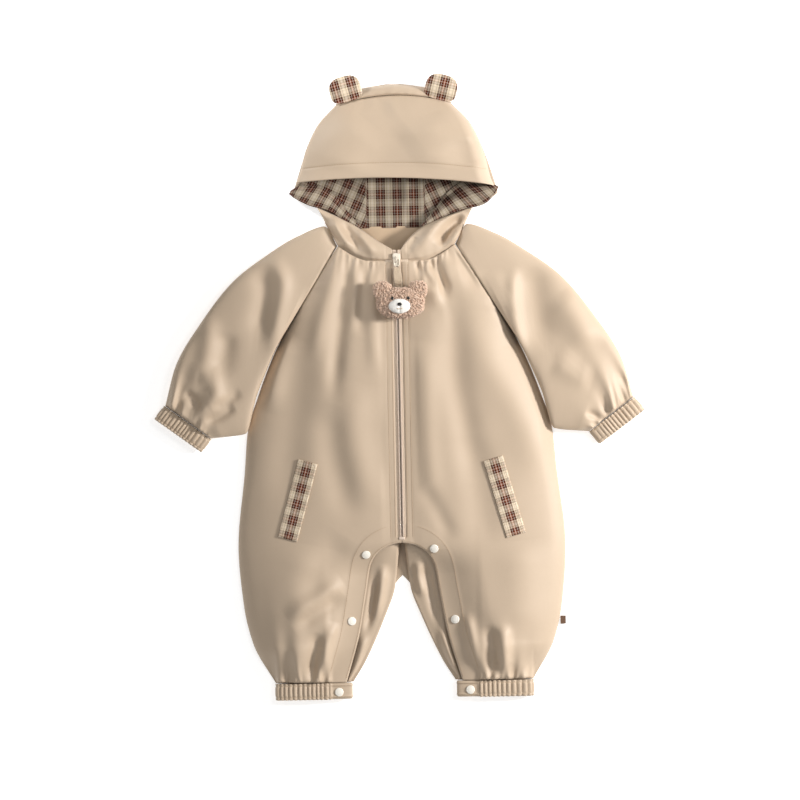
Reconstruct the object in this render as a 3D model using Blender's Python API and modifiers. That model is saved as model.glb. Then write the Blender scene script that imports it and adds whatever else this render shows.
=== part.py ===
"""A toddler's hooded romper, laid flat with its front up: the working model.

Sizes below are in millimetres and are turned into metres where a mesh is made. +Z is up, out of
the garment's front, +Y runs from the leg cuffs to the hood, and +X is to the right of a person
who looks down on it. The middle of the garment is X = 0 and the table is Z = 0.
"""

import math

import bmesh
import bpy
from mathutils import Vector

METRES = 0.001

# Cloth and clearances
CLOTH = 1.2  # outer cloth with its seam allowances
LINING = 0.8
GAP = 0.6  # between two layers that lie on each other
SEAM_GAP = 1.5  # between two panels that meet edge to edge

# Body: half widths (X) and heights along the body (Y)
NECK_Y = 152.5  # front neck seam at the zip
NECK_HALF = 70.0  # neck seam where the raglan seam meets it
RAGLAN_TOP_Y = 172.0
BACK_NECK_Y = 191.5
UNDERARM_HALF = 149.0
UNDERARM_Y = 47.5
WAIST_HALF = 190.0
WAIST_Y = -100.0
HIP_HALF = 199.5
HIP_Y = -195.0
ANKLE_HALF = 157.0
CROTCH_Y = -190.0
LEG_END_Y = -359.0
FRONT_HEM_IN = 70.5  # front inseam at the cuff
BACK_HEM_IN = 62.5  # inner side of the leg at the cuff
LEG_GAP_HALF = 4.5  # from X = 0 to the inner side of the leg, below the crotch
RIDGE_Z = 26.0  # level of the front along the zip
RAGLAN_Z = 20.0
INSEAM_Z = 12.0  # level of the front placket's edge down the leg
CHEST_RISE = 4.0
LEG_RISE = 15.0

# Sleeves and cuffs
SLEEVE_HEIGHT = 24.0
BAND = 20.0  # width of an elastic casing
CASING_WALLS = 3.4  # between a casing's outer and inner wall
CUFF_HEIGHT = 15.0
ELASTIC = 1.0
ROUNDNESS = 0.6  # of a flattened limb's section: 1 is a pointed lens, 0 a box
WRIST_HALF = 35.0
WRIST = (257.7, -38.7)  # middle of the sleeve's end
WRIST_TURN = 36.5  # degrees from X of the line across the wrist
SHOULDER_BOW = 53.8  # how far the sleeve stands out from the line from neck to wrist

# Zip
OPENING_HALF = 5.5  # zip to the edge of the front panel
COIL_IN, COIL_OUT = 0.9, 3.0
COIL_HIGH = 2.1
TAPE = 0.6
TAPE_OUT = 14.0
ZIP_TOP_Y = 166.0
SLIDER_LENGTH = 14.0
SLIDER_Y = 154.0
STOP_LENGTH = 3.4

# Pull, ribbon and bear charm
RING_HALF, RING_LENGTH, RING_WIRE = 3.2, 8.5, 0.55
RIBBON_WIDE, RIBBON_THICK, RIBBON_END_Y = 9.8, 1.4, 119.0
CHARM = (3.7, 101.0)
CHARM_HALF = (29.0, 18.5, 10.0)
CHARM_BASE_Z = 32.0
CHARM_EAR_SPREAD, CHARM_EAR_RADIUS = 21.5, 11.5
EYE_AT, EYE = (10.2, 10.5), (2.3, 2.3, 2.0)
MUZZLE_AT, MUZZLE = (-1.2, -4.0), (13.4, 9.2, 4.2)
NOSE = (3.0, 2.2, 1.6)
CHARM_GAP = 0.5

# Facing inside the back of the neck, and the label in the left side seam
FACING_HALF, FACING_LOW_Y = 44.0, 134.0
LABEL_Y, LABEL_LONG, LABEL_WIDE, LABEL_THICK = -288.0, 10.0, 6.5, 0.6

# Pockets and snaps
WELT_X, WELT_Y = 125.7, -136.2
WELT_WIDE, WELT_LONG, WELT_THICK, WELT_TILT = 24.4, 97.6, 1.0, 15.7
BAG_WIDE, BAG_LONG, BAG_THICK = 78.0, 118.0, 1.6
SNAP_RADIUS, SNAP_HIGH = 5.35, 1.6
SNAP_INSET = 12.4  # from the placket's edge to the middle of a snap
SNAP_YS = (-203.5, -284.3)
STUD_RADIUS, STUD_HIGH = 4.4, 1.4
STUD_GAP = 1.1  # above and below a stud, where the cloth curves

# Hood
HOOD_HALF = 121.0
HOOD_BRIM_Y = 246.0
HOOD_BRIM_BOW = 7.0  # how far the middle of the brim stands above its ends
HOOD_SEAM_Y = 343.5
HOOD_SEAM_HALF = 71.0
HOOD_SEAM_BOW = 11.0
HOOD_TOP_Y = 369.0
HOOD_Z = 31.0
HOOD_START_Y = 195.0
HOOD_SEAM_Z = 8.0
LIP_LIFT = 5.0
EAR_X, EAR_Y = 54.5, 350.5
EAR_HALF, EAR_LONG, EAR_THICK, EAR_LEAN = 19.5, 31.0, 5.0, 15.0
EAR_Z = 17.0

PARTS = "hooded_romper"
HELPERS = "hooded_romper_cutters"

COLOURS = {
    "shell": ((0.60, 0.46, 0.33), 0.75, 0.0),
    "plaid": ((0.52, 0.40, 0.28), 0.85, 0.0),
    "elastic": ((0.80, 0.78, 0.72), 0.8, 0.0),
    "tape": ((0.50, 0.40, 0.31), 0.8, 0.0),
    "coil": ((0.52, 0.42, 0.35), 0.4, 0.0),
    "slider": ((0.78, 0.72, 0.62), 0.35, 0.0),
    "ribbon": ((0.60, 0.47, 0.34), 0.8, 0.0),
    "plush": ((0.50, 0.33, 0.23), 0.95, 0.0),
    "felt": ((0.86, 0.84, 0.79), 0.95, 0.0),
    "bead": ((0.02, 0.015, 0.012), 0.25, 0.0),
    "snap": ((0.90, 0.86, 0.78), 0.35, 0.0),
    "label": ((0.16, 0.09, 0.05), 0.8, 0.0),
}


# ---------------------------------------------------------------- tools


def clear_scene():
    for obj in list(bpy.data.objects):
        bpy.data.objects.remove(obj)
    for name in (PARTS, HELPERS):
        collection = bpy.data.collections.new(name)
        bpy.context.scene.collection.children.link(collection)
    bpy.data.collections[HELPERS].hide_render = True


def material(slot, name):
    """A fresh material of the slot's finish for the named piece."""
    colour, roughness, metallic = COLOURS[slot]
    made = bpy.data.materials.new(name)
    made.use_nodes = True
    shader = made.node_tree.nodes["Principled BSDF"]
    shader.inputs["Base Color"].default_value = (*colour, 1.0)
    shader.inputs["Roughness"].default_value = roughness
    shader.inputs["Metallic"].default_value = metallic
    return made


def keep(obj, slot):
    """Puts a finished piece in the garment's collection with its own material."""
    bpy.data.collections[PARTS].objects.link(obj)
    obj.data.materials.append(material(slot, obj.name))
    return obj


def helper(obj):
    """Puts a cutter away: it is drawn as wire and never rendered."""
    bpy.data.collections[HELPERS].objects.link(obj)
    obj.hide_render = True
    obj.display_type = "WIRE"
    return obj


def mesh_object(name, bm):
    for vert in bm.verts:
        vert.co *= METRES
    mesh = bpy.data.meshes.new(name)
    bm.to_mesh(mesh)
    bm.free()
    return bpy.data.objects.new(name, mesh)


def mirrored(side, surface):
    """The same surface on the left (-1) or the right (+1) of the garment."""
    return lambda u, v: (side * surface(u, v)[0], *surface(u, v)[1:])


def sheet(name, surface, across, along, wall, slot, closed=False, stations=None):
    """A skin of one thickness about surface(u, v), u and v running from 0 to 1. A closed skin
    joins u = 1 to u = 0. Stations gives the rows' own v values."""
    bm = bmesh.new()
    rows = len(stations) - 1 if stations else along
    bmesh.ops.create_grid(bm, x_segments=across, y_segments=rows, size=0.5)
    for vert in bm.verts:
        u, v = vert.co.x + 0.5, vert.co.y + 0.5
        if stations:
            v = stations[round(v * rows)]
        vert.co = Vector(surface(min(max(u, 0.0), 1.0), min(max(v, 0.0), 1.0)))
    if closed:
        bmesh.ops.remove_doubles(bm, verts=bm.verts, dist=0.01)
    bmesh.ops.recalc_face_normals(bm, faces=bm.faces)
    obj = mesh_object(name, bm)
    skin = obj.modifiers.new("wall", "SOLIDIFY")
    skin.thickness = wall * METRES
    skin.offset = 0.0
    skin.use_even_offset = False
    return keep(obj, slot)


def flat(name, outline, z_low, thick, slot):
    """A flat piece of cloth with the given outline."""
    curve = bpy.data.curves.new(name, "CURVE")
    curve.dimensions = "2D"
    curve.fill_mode = "BOTH"
    curve.extrude = thick / 2 * METRES
    spline = curve.splines.new("POLY")
    spline.points.add(len(outline) - 1)
    for point, (x, y) in zip(spline.points, outline):
        point.co = (x * METRES, y * METRES, 0.0, 1.0)
    spline.use_cyclic_u = True
    obj = bpy.data.objects.new(name, curve)
    obj.location.z = (z_low + thick / 2) * METRES
    return keep(obj, slot)


def box(name, low, high, slot):
    bm = bmesh.new()
    bmesh.ops.create_cube(bm, size=1.0)
    for vert in bm.verts:
        vert.co = Vector([high[i] if vert.co[i] > 0 else low[i] for i in range(3)])
    return keep(mesh_object(name, bm), slot)


def turned(name, profile, centre, slot):
    """A small round piece: an outer profile from top to bottom, turned about Z."""
    bm = bmesh.new()
    verts = [bm.verts.new((radius, 0.0, height)) for radius, height in profile]
    edges = [bm.edges.new(pair) for pair in zip(verts, verts[1:])]
    bmesh.ops.spin(
        bm, geom=verts + edges, cent=(0, 0, 0), axis=(0, 0, 1), angle=2 * math.pi,
        steps=12, use_merge=True,
    )
    bmesh.ops.remove_doubles(bm, verts=bm.verts, dist=0.001)
    bmesh.ops.recalc_face_normals(bm, faces=bm.faces)
    bmesh.ops.translate(bm, verts=bm.verts, vec=Vector(centre))
    return keep(mesh_object(name, bm), slot)


def ball(name, centre, radii, segments=20, rings=12):
    bm = bmesh.new()
    bmesh.ops.create_uvsphere(bm, u_segments=segments, v_segments=rings, radius=1.0)
    bmesh.ops.scale(bm, verts=bm.verts, vec=Vector(radii))
    bmesh.ops.translate(bm, verts=bm.verts, vec=Vector(centre))
    return mesh_object(name, bm)


def boolean(obj, other, operation):
    cut = obj.modifiers.new(operation.lower(), "BOOLEAN")
    cut.operation = operation
    cut.object = other


def wire(name, points, radius, cyclic):
    """A bent wire, as a mesh with its ends closed."""
    curve = bpy.data.curves.new(name, "CURVE")
    curve.dimensions = "3D"
    curve.bevel_depth = radius * METRES
    curve.bevel_resolution = 2
    curve.use_fill_caps = True
    spline = curve.splines.new("POLY")
    spline.points.add(len(points) - 1)
    for point, place in zip(spline.points, points):
        point.co = (*(Vector(place) * METRES), 1.0)
    spline.use_cyclic_u = cyclic
    maker = bpy.data.objects.new(name + "_curve", curve)
    bpy.context.scene.collection.objects.link(maker)
    graph = bpy.context.evaluated_depsgraph_get()
    mesh = bpy.data.meshes.new_from_object(maker.evaluated_get(graph))
    bpy.data.objects.remove(maker)
    bm = bmesh.new()
    bm.from_mesh(mesh)
    bmesh.ops.remove_doubles(bm, verts=bm.verts, dist=1e-6)
    bm.to_mesh(mesh)
    bm.free()
    mesh.name = name
    return bpy.data.objects.new(name, mesh)


def ease(value, start, end):
    """0 at start, 1 at end, smooth between."""
    share = min(max((value - start) / (end - start), 0.0), 1.0)
    return share * share * (3.0 - 2.0 * share)


def mix(a, b, share):
    return a + (b - a) * share


def curve_through(points):
    """A smooth function through (input, output) points that never overshoots them."""
    points = sorted(points)
    xs = [p[0] for p in points]
    ys = [p[1] for p in points]
    steps = [b - a for a, b in zip(xs, xs[1:])]
    slopes = [(d - c) / h for c, d, h in zip(ys, ys[1:], steps)]
    tangents = [slopes[0]]
    for before, after in zip(slopes, slopes[1:]):
        steady = before * after > 0
        tangents.append(2 * before * after / (before + after) if steady else 0.0)
    tangents.append(slopes[-1])

    def at(x):
        x = min(max(x, xs[0]), xs[-1])
        i = max(k for k in range(len(steps)) if k == 0 or xs[k] <= x)
        t = (x - xs[i]) / steps[i]
        return (
            (1 + 2 * t) * (1 - t) ** 2 * ys[i]
            + t * (1 - t) ** 2 * steps[i] * tangents[i]
            + t * t * (3 - 2 * t) * ys[i + 1]
            - t * t * (1 - t) * steps[i] * tangents[i + 1]
        )

    return at


def path_through(points):
    """A smooth path: a function of 0..1 through (share, x, y) points."""
    xs = curve_through([(t, x) for t, x, y in points])
    ys = curve_through([(t, y) for t, x, y in points])
    return lambda t: (xs(t), ys(t))


def flat_ring(angle, half, height, inset):
    """A point of a flattened ring: (across, up), up measured from the ring's lowest point."""
    across = math.copysign(abs(math.cos(angle)) ** ROUNDNESS, math.cos(angle))
    up = math.copysign(abs(math.sin(angle)) ** ROUNDNESS, math.sin(angle))
    return (half - inset) * across, height / 2 + (height / 2 - inset) * up


# ---------------------------------------------------------------- body outline

raglan_x = [
    (RAGLAN_TOP_Y, NECK_HALF + 1.0),
    (mix(UNDERARM_Y, RAGLAN_TOP_Y, 0.72), mix(UNDERARM_HALF, NECK_HALF, 0.69)),
    (mix(UNDERARM_Y, RAGLAN_TOP_Y, 0.37), mix(UNDERARM_HALF, NECK_HALF, 0.35)),
    (UNDERARM_Y, UNDERARM_HALF),
]
side_x = raglan_x[:-1] + [
    (UNDERARM_Y, UNDERARM_HALF),
    (mix(UNDERARM_Y, WAIST_Y, 0.38), mix(UNDERARM_HALF, WAIST_HALF, 0.56)),
    (mix(UNDERARM_Y, WAIST_Y, 0.69), mix(UNDERARM_HALF, WAIST_HALF, 0.9)),
    (WAIST_Y, WAIST_HALF),
    (HIP_Y, HIP_HALF),
    (mix(HIP_Y, LEG_END_Y, 0.43), mix(HIP_HALF, ANKLE_HALF, 0.13)),
    (mix(HIP_Y, LEG_END_Y, 0.71), mix(HIP_HALF, ANKLE_HALF, 0.38)),
    (LEG_END_Y, ANKLE_HALF),
]
outer_x = curve_through(side_x)

neck_x = curve_through([
    (NECK_Y, OPENING_HALF),
    (NECK_Y + 1.0, mix(OPENING_HALF, NECK_HALF, 0.47)),
    (mix(NECK_Y, RAGLAN_TOP_Y, 0.25), mix(OPENING_HALF, NECK_HALF, 0.65)),
    (mix(NECK_Y, RAGLAN_TOP_Y, 0.66), mix(OPENING_HALF, NECK_HALF, 0.86)),
    (RAGLAN_TOP_Y, NECK_HALF - 1.0),
])
inseam_x = curve_through([
    (CROTCH_Y, OPENING_HALF),
    (CROTCH_Y - 4.6, OPENING_HALF + 14.0),
    (CROTCH_Y - 13.7, OPENING_HALF + 26.2),
    (CROTCH_Y - 27.8, OPENING_HALF + 33.5),
    (mix(CROTCH_Y, LEG_END_Y, 0.33), mix(OPENING_HALF, FRONT_HEM_IN, 0.59)),
    (mix(CROTCH_Y, LEG_END_Y, 0.65), mix(OPENING_HALF, FRONT_HEM_IN, 0.74)),
    (LEG_END_Y, FRONT_HEM_IN),
])
leg_inner_x = curve_through([
    (CROTCH_Y - 16.0, LEG_GAP_HALF),
    (mix(CROTCH_Y, LEG_END_Y, 0.33), mix(LEG_GAP_HALF, BACK_HEM_IN, 0.09)),
    (mix(CROTCH_Y, LEG_END_Y, 0.51), mix(LEG_GAP_HALF, BACK_HEM_IN, 0.28)),
    (mix(CROTCH_Y, LEG_END_Y, 0.85), mix(LEG_GAP_HALF, BACK_HEM_IN, 0.73)),
    (LEG_END_Y, BACK_HEM_IN),
])


def inner_x(y):
    """Inner edge of a front panel: neck seam, zip and inseam."""
    if y > NECK_Y:
        return neck_x(y)
    return OPENING_HALF if y > CROTCH_Y else inseam_x(y)


SIDE_Z = CLOTH + GAP + CLOTH / 2  # the front's side seam, just above the back panel


def leg_end_z(x):
    """Height of the front's cloth where it meets the leg cuff."""
    middle, half = (ANKLE_HALF + BACK_HEM_IN) / 2, (ANKLE_HALF - BACK_HEM_IN) / 2
    share = min(abs(x - middle) / half, 1.0)
    base = CUFF_HEIGHT / 2 if x < middle else SIDE_Z
    return base + (CUFF_HEIGHT - CLOTH / 2 - base) * (1.0 - share ** (1 / ROUNDNESS)) ** ROUNDNESS


def front_z(x, y):
    """Height of the middle of a front panel's cloth."""
    x = abs(x)
    start, end = inner_x(y), outer_x(y)
    u = min(max((x - start) / (end - start), 0.0), 1.0)
    edge = mix(SIDE_Z, RAGLAN_Z, ease(y, UNDERARM_Y, mix(UNDERARM_Y, RAGLAN_TOP_Y, 0.5)))
    inner = RIDGE_Z
    inner = mix(inner, RAGLAN_Z, ease(y, NECK_Y, RAGLAN_TOP_Y))
    inner = mix(inner, INSEAM_Z, ease(y, CROTCH_Y, CROTCH_Y - 35.0))
    leg = ease(y, CROTCH_Y + 70.0, CROTCH_Y - 25.0)
    fall = mix(math.sqrt(1.0 - u**2.6), 1.0 - u, leg)
    hump = math.sin(math.pi * u)
    rise = mix(CHEST_RISE * hump, LEG_RISE * hump**0.8 if hump > 0 else 0.0, leg)
    return mix(edge + (inner - edge) * fall + rise, leg_end_z(x), ease(y, LEG_END_Y + 45.0, LEG_END_Y))


# ---------------------------------------------------------------- pieces


def front_panel(side, name):
    stations = [RAGLAN_TOP_Y, mix(NECK_Y, RAGLAN_TOP_Y, 0.66), mix(NECK_Y, RAGLAN_TOP_Y, 0.25)]
    stations += [NECK_Y + 1.0, NECK_Y]
    stations += [mix(NECK_Y, CROTCH_Y, i / 14) for i in range(1, 15)]
    stations += [CROTCH_Y - drop for drop in (1.5, 4.6, 9.0, 13.7, 20.0, 27.8)]
    legs = CROTCH_Y - 27.8
    stations += [mix(legs, LEG_END_Y, i / 8) for i in range(1, 9)]
    low, high = min(stations), max(stations)
    shares = [(y - low) / (high - low) for y in reversed(stations)]

    def surface(u, v):
        y = mix(low, high, v)
        x = mix(inner_x(y), outer_x(y), u**0.8)
        return x, y, front_z(x, y)

    return sheet(name, mirrored(side, surface), 10, 0, CLOTH, "shell", stations=shares)


def back_panel():
    right = [(0.0, BACK_NECK_Y), (NECK_HALF, BACK_NECK_Y)]
    right += [(outer_x(y), y) for y in (RAGLAN_TOP_Y - 30.0 * i for i in range(5))]
    right += [(outer_x(mix(UNDERARM_Y, LEG_END_Y, i / 13)), mix(UNDERARM_Y, LEG_END_Y, i / 13))
              for i in range(14)]
    crotch = CROTCH_Y - 38.0
    right += [(leg_inner_x(mix(LEG_END_Y, crotch, i / 6)) + 2.0, mix(LEG_END_Y, crotch, i / 6))
              for i in range(7)]
    left = [(-x, y) for x, y in reversed(right[1:])]
    return flat("back_panel", right + left, 0.0, CLOTH, "shell")


PLACKET_UNDER = CLOTH / 2 + STUD_HIGH + 2 * STUD_GAP + LINING / 2


def back_placket(side, name):
    """The back's inseam edge: up round the inner side of the leg, then under the front placket."""
    top, low = CROTCH_Y - 18.0, LEG_END_Y + 1.0
    floor = CLOTH + GAP + LINING / 2

    def surface(u, v):
        y = mix(low, top, v)
        bulge, cover = leg_inner_x(y), inner_x(y)
        tucked = cover + 2 * SNAP_INSET
        upper = front_z(cover + 2.0, y) - PLACKET_UNDER
        if u < 0.3:
            return mix(bulge + 14.0, bulge + 4.0, u / 0.3), y, floor
        if u < 0.6:
            turn = math.pi * (u - 0.3) / 0.3
            x = bulge + 4.0 - 4.0 * math.sin(turn)
            return x, y, mix(floor, upper, (1 - math.cos(turn)) / 2)
        x = mix(bulge + 4.0, tucked, (u - 0.6) / 0.4)
        return x, y, min(upper, front_z(x, y) - PLACKET_UNDER) if x < cover else (
            front_z(x, y) - PLACKET_UNDER)

    return sheet(name, mirrored(side, surface), 14, 10, LINING, "shell")


def leg_frame(along):
    """Middle of the leg's end ring, at a distance along the cuff from its top."""
    return (ANKLE_HALF + BACK_HEM_IN) / 2, LEG_END_Y - SEAM_GAP - along


def cuff_ring(angle, along, inset, place):
    """place(across, along) gives (x, y) of a point of the cuff."""
    half, across_dir, middle = place
    across, up = flat_ring(angle, half, CUFF_HEIGHT, inset)
    centre = middle(along)
    return (centre[0] + across * across_dir[0], centre[1] + across * across_dir[1], up)


LEG_CUFF = ((ANKLE_HALF - BACK_HEM_IN) / 2, (1.0, 0.0), leg_frame)


def wrist_frame(along):
    """Middle of the sleeve's end ring, at a distance along the cuff from its top."""
    turn = math.radians(WRIST_TURN + 2.0)
    reach = SEAM_GAP + along
    return WRIST[0] + reach * math.sin(turn), WRIST[1] - reach * math.cos(turn)


WRIST_ACROSS = (math.cos(math.radians(WRIST_TURN)), math.sin(math.radians(WRIST_TURN)))
WRIST_CUFF = (WRIST_HALF, WRIST_ACROSS, wrist_frame)


def casing(side, name, place):
    """A folded band: outer wall, hem and inner wall, open towards the limb."""

    def surface(u, v):
        angle = 2 * math.pi * u
        folds = ((0.0, 0.0), (BAND, 0.0), (BAND, CASING_WALLS), (0.0, CASING_WALLS))
        spot = v * 3
        i = min(int(spot), 2)
        along = mix(folds[i][0], folds[i + 1][0], spot - i)
        inset = mix(folds[i][1], folds[i + 1][1], spot - i) + LINING / 2
        return cuff_ring(angle, along, inset, place)

    return sheet(name, mirrored(side, surface), 20, 3, LINING, "shell", closed=True)


def elastic(side, name, place):
    def surface(u, v):
        angle = 2 * math.pi * u
        inset = LINING / 2 + CASING_WALLS / 2
        return cuff_ring(angle, mix(2.0, BAND - 3.0, v), inset, place)

    return sheet(name, mirrored(side, surface), 20, 1, ELASTIC, "elastic", closed=True)


SHOULDER = (NECK_HALF + 1.0 + SEAM_GAP, RAGLAN_TOP_Y + 1.0)
WRIST_OUTER = (WRIST[0] + WRIST_HALF * WRIST_ACROSS[0], WRIST[1] + WRIST_HALF * WRIST_ACROSS[1])
WRIST_INNER = (WRIST[0] - WRIST_HALF * WRIST_ACROSS[0], WRIST[1] - WRIST_HALF * WRIST_ACROSS[1])


def beside(start, end, share, off):
    """A point at a share of the way from start to end, set off to the left of that line."""
    run = Vector(end) - Vector(start)
    place = Vector(start) + run * share + Vector((-run.y, run.x)).normalized() * off
    return place.x, place.y


outer_sleeve = path_through([
    (0.0, *SHOULDER),
    (0.1, *beside(SHOULDER, WRIST_OUTER, -0.018, 0.51 * SHOULDER_BOW)),
    (0.26, *beside(SHOULDER, WRIST_OUTER, 0.103, 0.77 * SHOULDER_BOW)),
    (0.42, *beside(SHOULDER, WRIST_OUTER, 0.257, 0.92 * SHOULDER_BOW)),
    (0.58, *beside(SHOULDER, WRIST_OUTER, 0.425, 1.00 * SHOULDER_BOW)),
    (0.8, *beside(SHOULDER, WRIST_OUTER, 0.676, 0.78 * SHOULDER_BOW)),
    (0.92, *beside(SHOULDER, WRIST_OUTER, 0.845, 0.48 * SHOULDER_BOW)),
    (1.0, *WRIST_OUTER),
])
inner_sleeve = path_through([
    (0.0, UNDERARM_HALF + 2 * SEAM_GAP, UNDERARM_Y + 1.0),
    (0.3, outer_x(mix(UNDERARM_Y, WAIST_Y, 0.38)) + 2 * SEAM_GAP, mix(UNDERARM_Y, WAIST_Y, 0.38)),
    (0.55, outer_x(mix(UNDERARM_Y, WAIST_Y, 0.69)) + 2 * SEAM_GAP, mix(UNDERARM_Y, WAIST_Y, 0.69)),
    (1.0, *WRIST_INNER),
])


def sleeve(side, name):
    height = curve_through([(0.0, 21.0), (0.5, SLEEVE_HEIGHT), (1.0, CUFF_HEIGHT)])

    def surface(u, v):
        outer, inner = Vector(outer_sleeve(v)), Vector(inner_sleeve(v))
        centre, reach = (outer + inner) / 2, (outer - inner) / 2
        across, up = flat_ring(2 * math.pi * u, 1.0, 1.0, 0.0)
        x, y = centre + reach * across
        return x, y, CLOTH / 2 + up * (height(v) - CLOTH)

    return sheet(name, mirrored(side, surface), 20, 9, CLOTH, "shell", closed=True)


def collar(side, name):
    """One side of the hood's neck, from the zip round to the shoulder."""
    lift = SEAM_GAP
    seam = path_through([
        (0.0, OPENING_HALF + 0.5, NECK_Y + lift + 0.5),
        (0.3, mix(OPENING_HALF, NECK_HALF, 0.47), NECK_Y + lift + 1.5),
        (0.5, mix(OPENING_HALF, NECK_HALF, 0.66), mix(NECK_Y, RAGLAN_TOP_Y, 0.25) + lift + 1.0),
        (0.7, mix(OPENING_HALF, NECK_HALF, 0.85), mix(NECK_Y, RAGLAN_TOP_Y, 0.66) + lift + 1.0),
        (0.85, NECK_HALF - 1.0, RAGLAN_TOP_Y + lift),
        (1.0, NECK_HALF + 7.0, BACK_NECK_Y - 2.0),
    ])
    opening = path_through([
        (0.0, OPENING_HALF + 0.5, ZIP_TOP_Y + 1.0),
        (0.3, mix(OPENING_HALF, NECK_HALF, 0.19), mix(ZIP_TOP_Y, BACK_NECK_Y, 0.29)),
        (0.6, mix(OPENING_HALF, NECK_HALF, 0.38), mix(ZIP_TOP_Y, BACK_NECK_Y, 0.63)),
        (0.8, mix(OPENING_HALF, NECK_HALF, 0.535), BACK_NECK_Y - 2.0),
        (1.0, mix(OPENING_HALF, NECK_HALF, 0.875), BACK_NECK_Y - 1.0),
    ])

    def surface(u, v):
        outer, inner = Vector(seam(u)), Vector(opening(u))
        x, y = outer.lerp(inner, v)
        outer_z = mix(RIDGE_Z, 11.0, ease(u, 0.2, 1.0))
        inner_z = mix(RIDGE_Z, 10.0, ease(u, 0.0, 0.8))
        return x, y, mix(outer_z, inner_z, v) + 4.0 * math.sin(math.pi * v) * ease(u, 0.0, 0.3)

    return sheet(name, mirrored(side, surface), 9, 4, CLOTH, "shell")


def on_front(centre, tilt, low, high, lift):
    """A patch of the front: local across and along values to a point above its surface."""
    turn = math.radians(tilt)

    def surface(u, v):
        across, along = mix(low[0], high[0], u), mix(low[1], high[1], v)
        x = centre[0] + across * math.cos(turn) - along * math.sin(turn)
        y = centre[1] + across * math.sin(turn) + along * math.cos(turn)
        return x, y, front_z(x, y) + lift

    return surface


def pocket(side, label):
    lift = CLOTH / 2 + GAP + WELT_THICK
    low, high = (-WELT_WIDE / 2, -WELT_LONG / 2), (WELT_WIDE / 2, WELT_LONG / 2)
    welt = on_front((WELT_X, WELT_Y), WELT_TILT, low, high, lift)
    sheet(f"pocket_welt_{label}", mirrored(side, welt), 3, 8, WELT_THICK, "plaid")
    drop = -(CLOTH / 2 + 2 * GAP + BAG_THICK)
    low = (-BAG_WIDE + WELT_WIDE / 2, -BAG_LONG * 0.58)
    high = (WELT_WIDE / 2, BAG_LONG * 0.42)
    bag = on_front((WELT_X, WELT_Y), WELT_TILT, low, high, drop)
    sheet(f"pocket_bag_{label}", mirrored(side, bag), 5, 6, BAG_THICK, "tape")


def cap_profile():
    """Half section of a snap cap, from the top of its dome down and in to its axis."""
    return [
        (0.0, SNAP_HIGH), (SNAP_RADIUS * 0.55, SNAP_HIGH * 0.93), (SNAP_RADIUS * 0.85, SNAP_HIGH * 0.7),
        (SNAP_RADIUS, SNAP_HIGH * 0.3), (SNAP_RADIUS * 0.97, 0.0), (0.0, 0.0),
    ]


def stud_profile():
    return [
        (0.0, STUD_HIGH), (STUD_RADIUS * 0.45, STUD_HIGH), (STUD_RADIUS * 0.5, STUD_HIGH * 0.5),
        (STUD_RADIUS, STUD_HIGH * 0.35), (STUD_RADIUS, 0.0), (0.0, 0.0),
    ]


def lean_onto_front(obj, x, y, lift):
    """Seats a small round piece on the front's slope, lift above the middle of its cloth."""
    step = 2.0
    run_x = (front_z(abs(x) + step, y) - front_z(abs(x) - step, y)) / (2 * step)
    run_y = (front_z(x, y + step) - front_z(x, y - step)) / (2 * step)
    normal = Vector((-math.copysign(run_x, x), -run_y, 1.0)).normalized()
    obj.rotation_euler = Vector((0, 0, 1)).rotation_difference(normal).to_euler()
    obj.location = (Vector((x, y, front_z(x, y))) + normal * lift) * METRES


def snaps(side, label):
    above = CLOTH / 2 + GAP + 0.3
    below = -(CLOTH / 2 + STUD_GAP + STUD_HIGH)
    for i, y in enumerate(SNAP_YS, 1):
        x = side * (inner_x(y) + SNAP_INSET)
        cap = turned(f"snap_cap_{label}_{i}", cap_profile(), (0, 0, 0), "snap")
        lean_onto_front(cap, x, y, above)
        stud = turned(f"snap_stud_{label}_{i}", stud_profile(), (0, 0, 0), "snap")
        lean_onto_front(stud, x, y, below)
    x = side * (BACK_HEM_IN + SNAP_INSET + 5.0)
    y = LEG_END_Y - SEAM_GAP - BAND / 2
    turned(f"snap_cap_{label}_3", cap_profile(), (x, y, CUFF_HEIGHT + GAP), "snap")
    room = CUFF_HEIGHT - 2 * LINING - CASING_WALLS - 2 * GAP
    turned(f"snap_stud_{label}_3", stud_profile(), (x, y, room - STUD_HIGH), "snap")


def zip_parts():
    tape_z = RIDGE_Z - CLOTH / 2 - GAP - TAPE
    coil_z = RIDGE_Z - CLOTH / 2 - GAP + 0.4
    low_y = CROTCH_Y + 2.0
    stop_y = low_y + 2.0
    for side, label in ((-1, "left"), (1, "right")):
        spans = sorted((side * (COIL_IN + 0.3), side * TAPE_OUT))
        box(f"zip_tape_{label}", (spans[0], low_y, tape_z), (spans[1], ZIP_TOP_Y, tape_z + TAPE), "tape")
        spans = sorted((side * COIL_IN, side * COIL_OUT))
        box(f"zip_coil_{label}", (spans[0], stop_y + STOP_LENGTH + 0.6, coil_z),
            (spans[1], ZIP_TOP_Y - 1.0, coil_z + COIL_HIGH), "coil")
    box("zip_bottom_stop", (-COIL_OUT - 0.3, stop_y, coil_z),
        (COIL_OUT + 0.3, stop_y + STOP_LENGTH, coil_z + COIL_HIGH), "coil")
    return tape_z, coil_z


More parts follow.
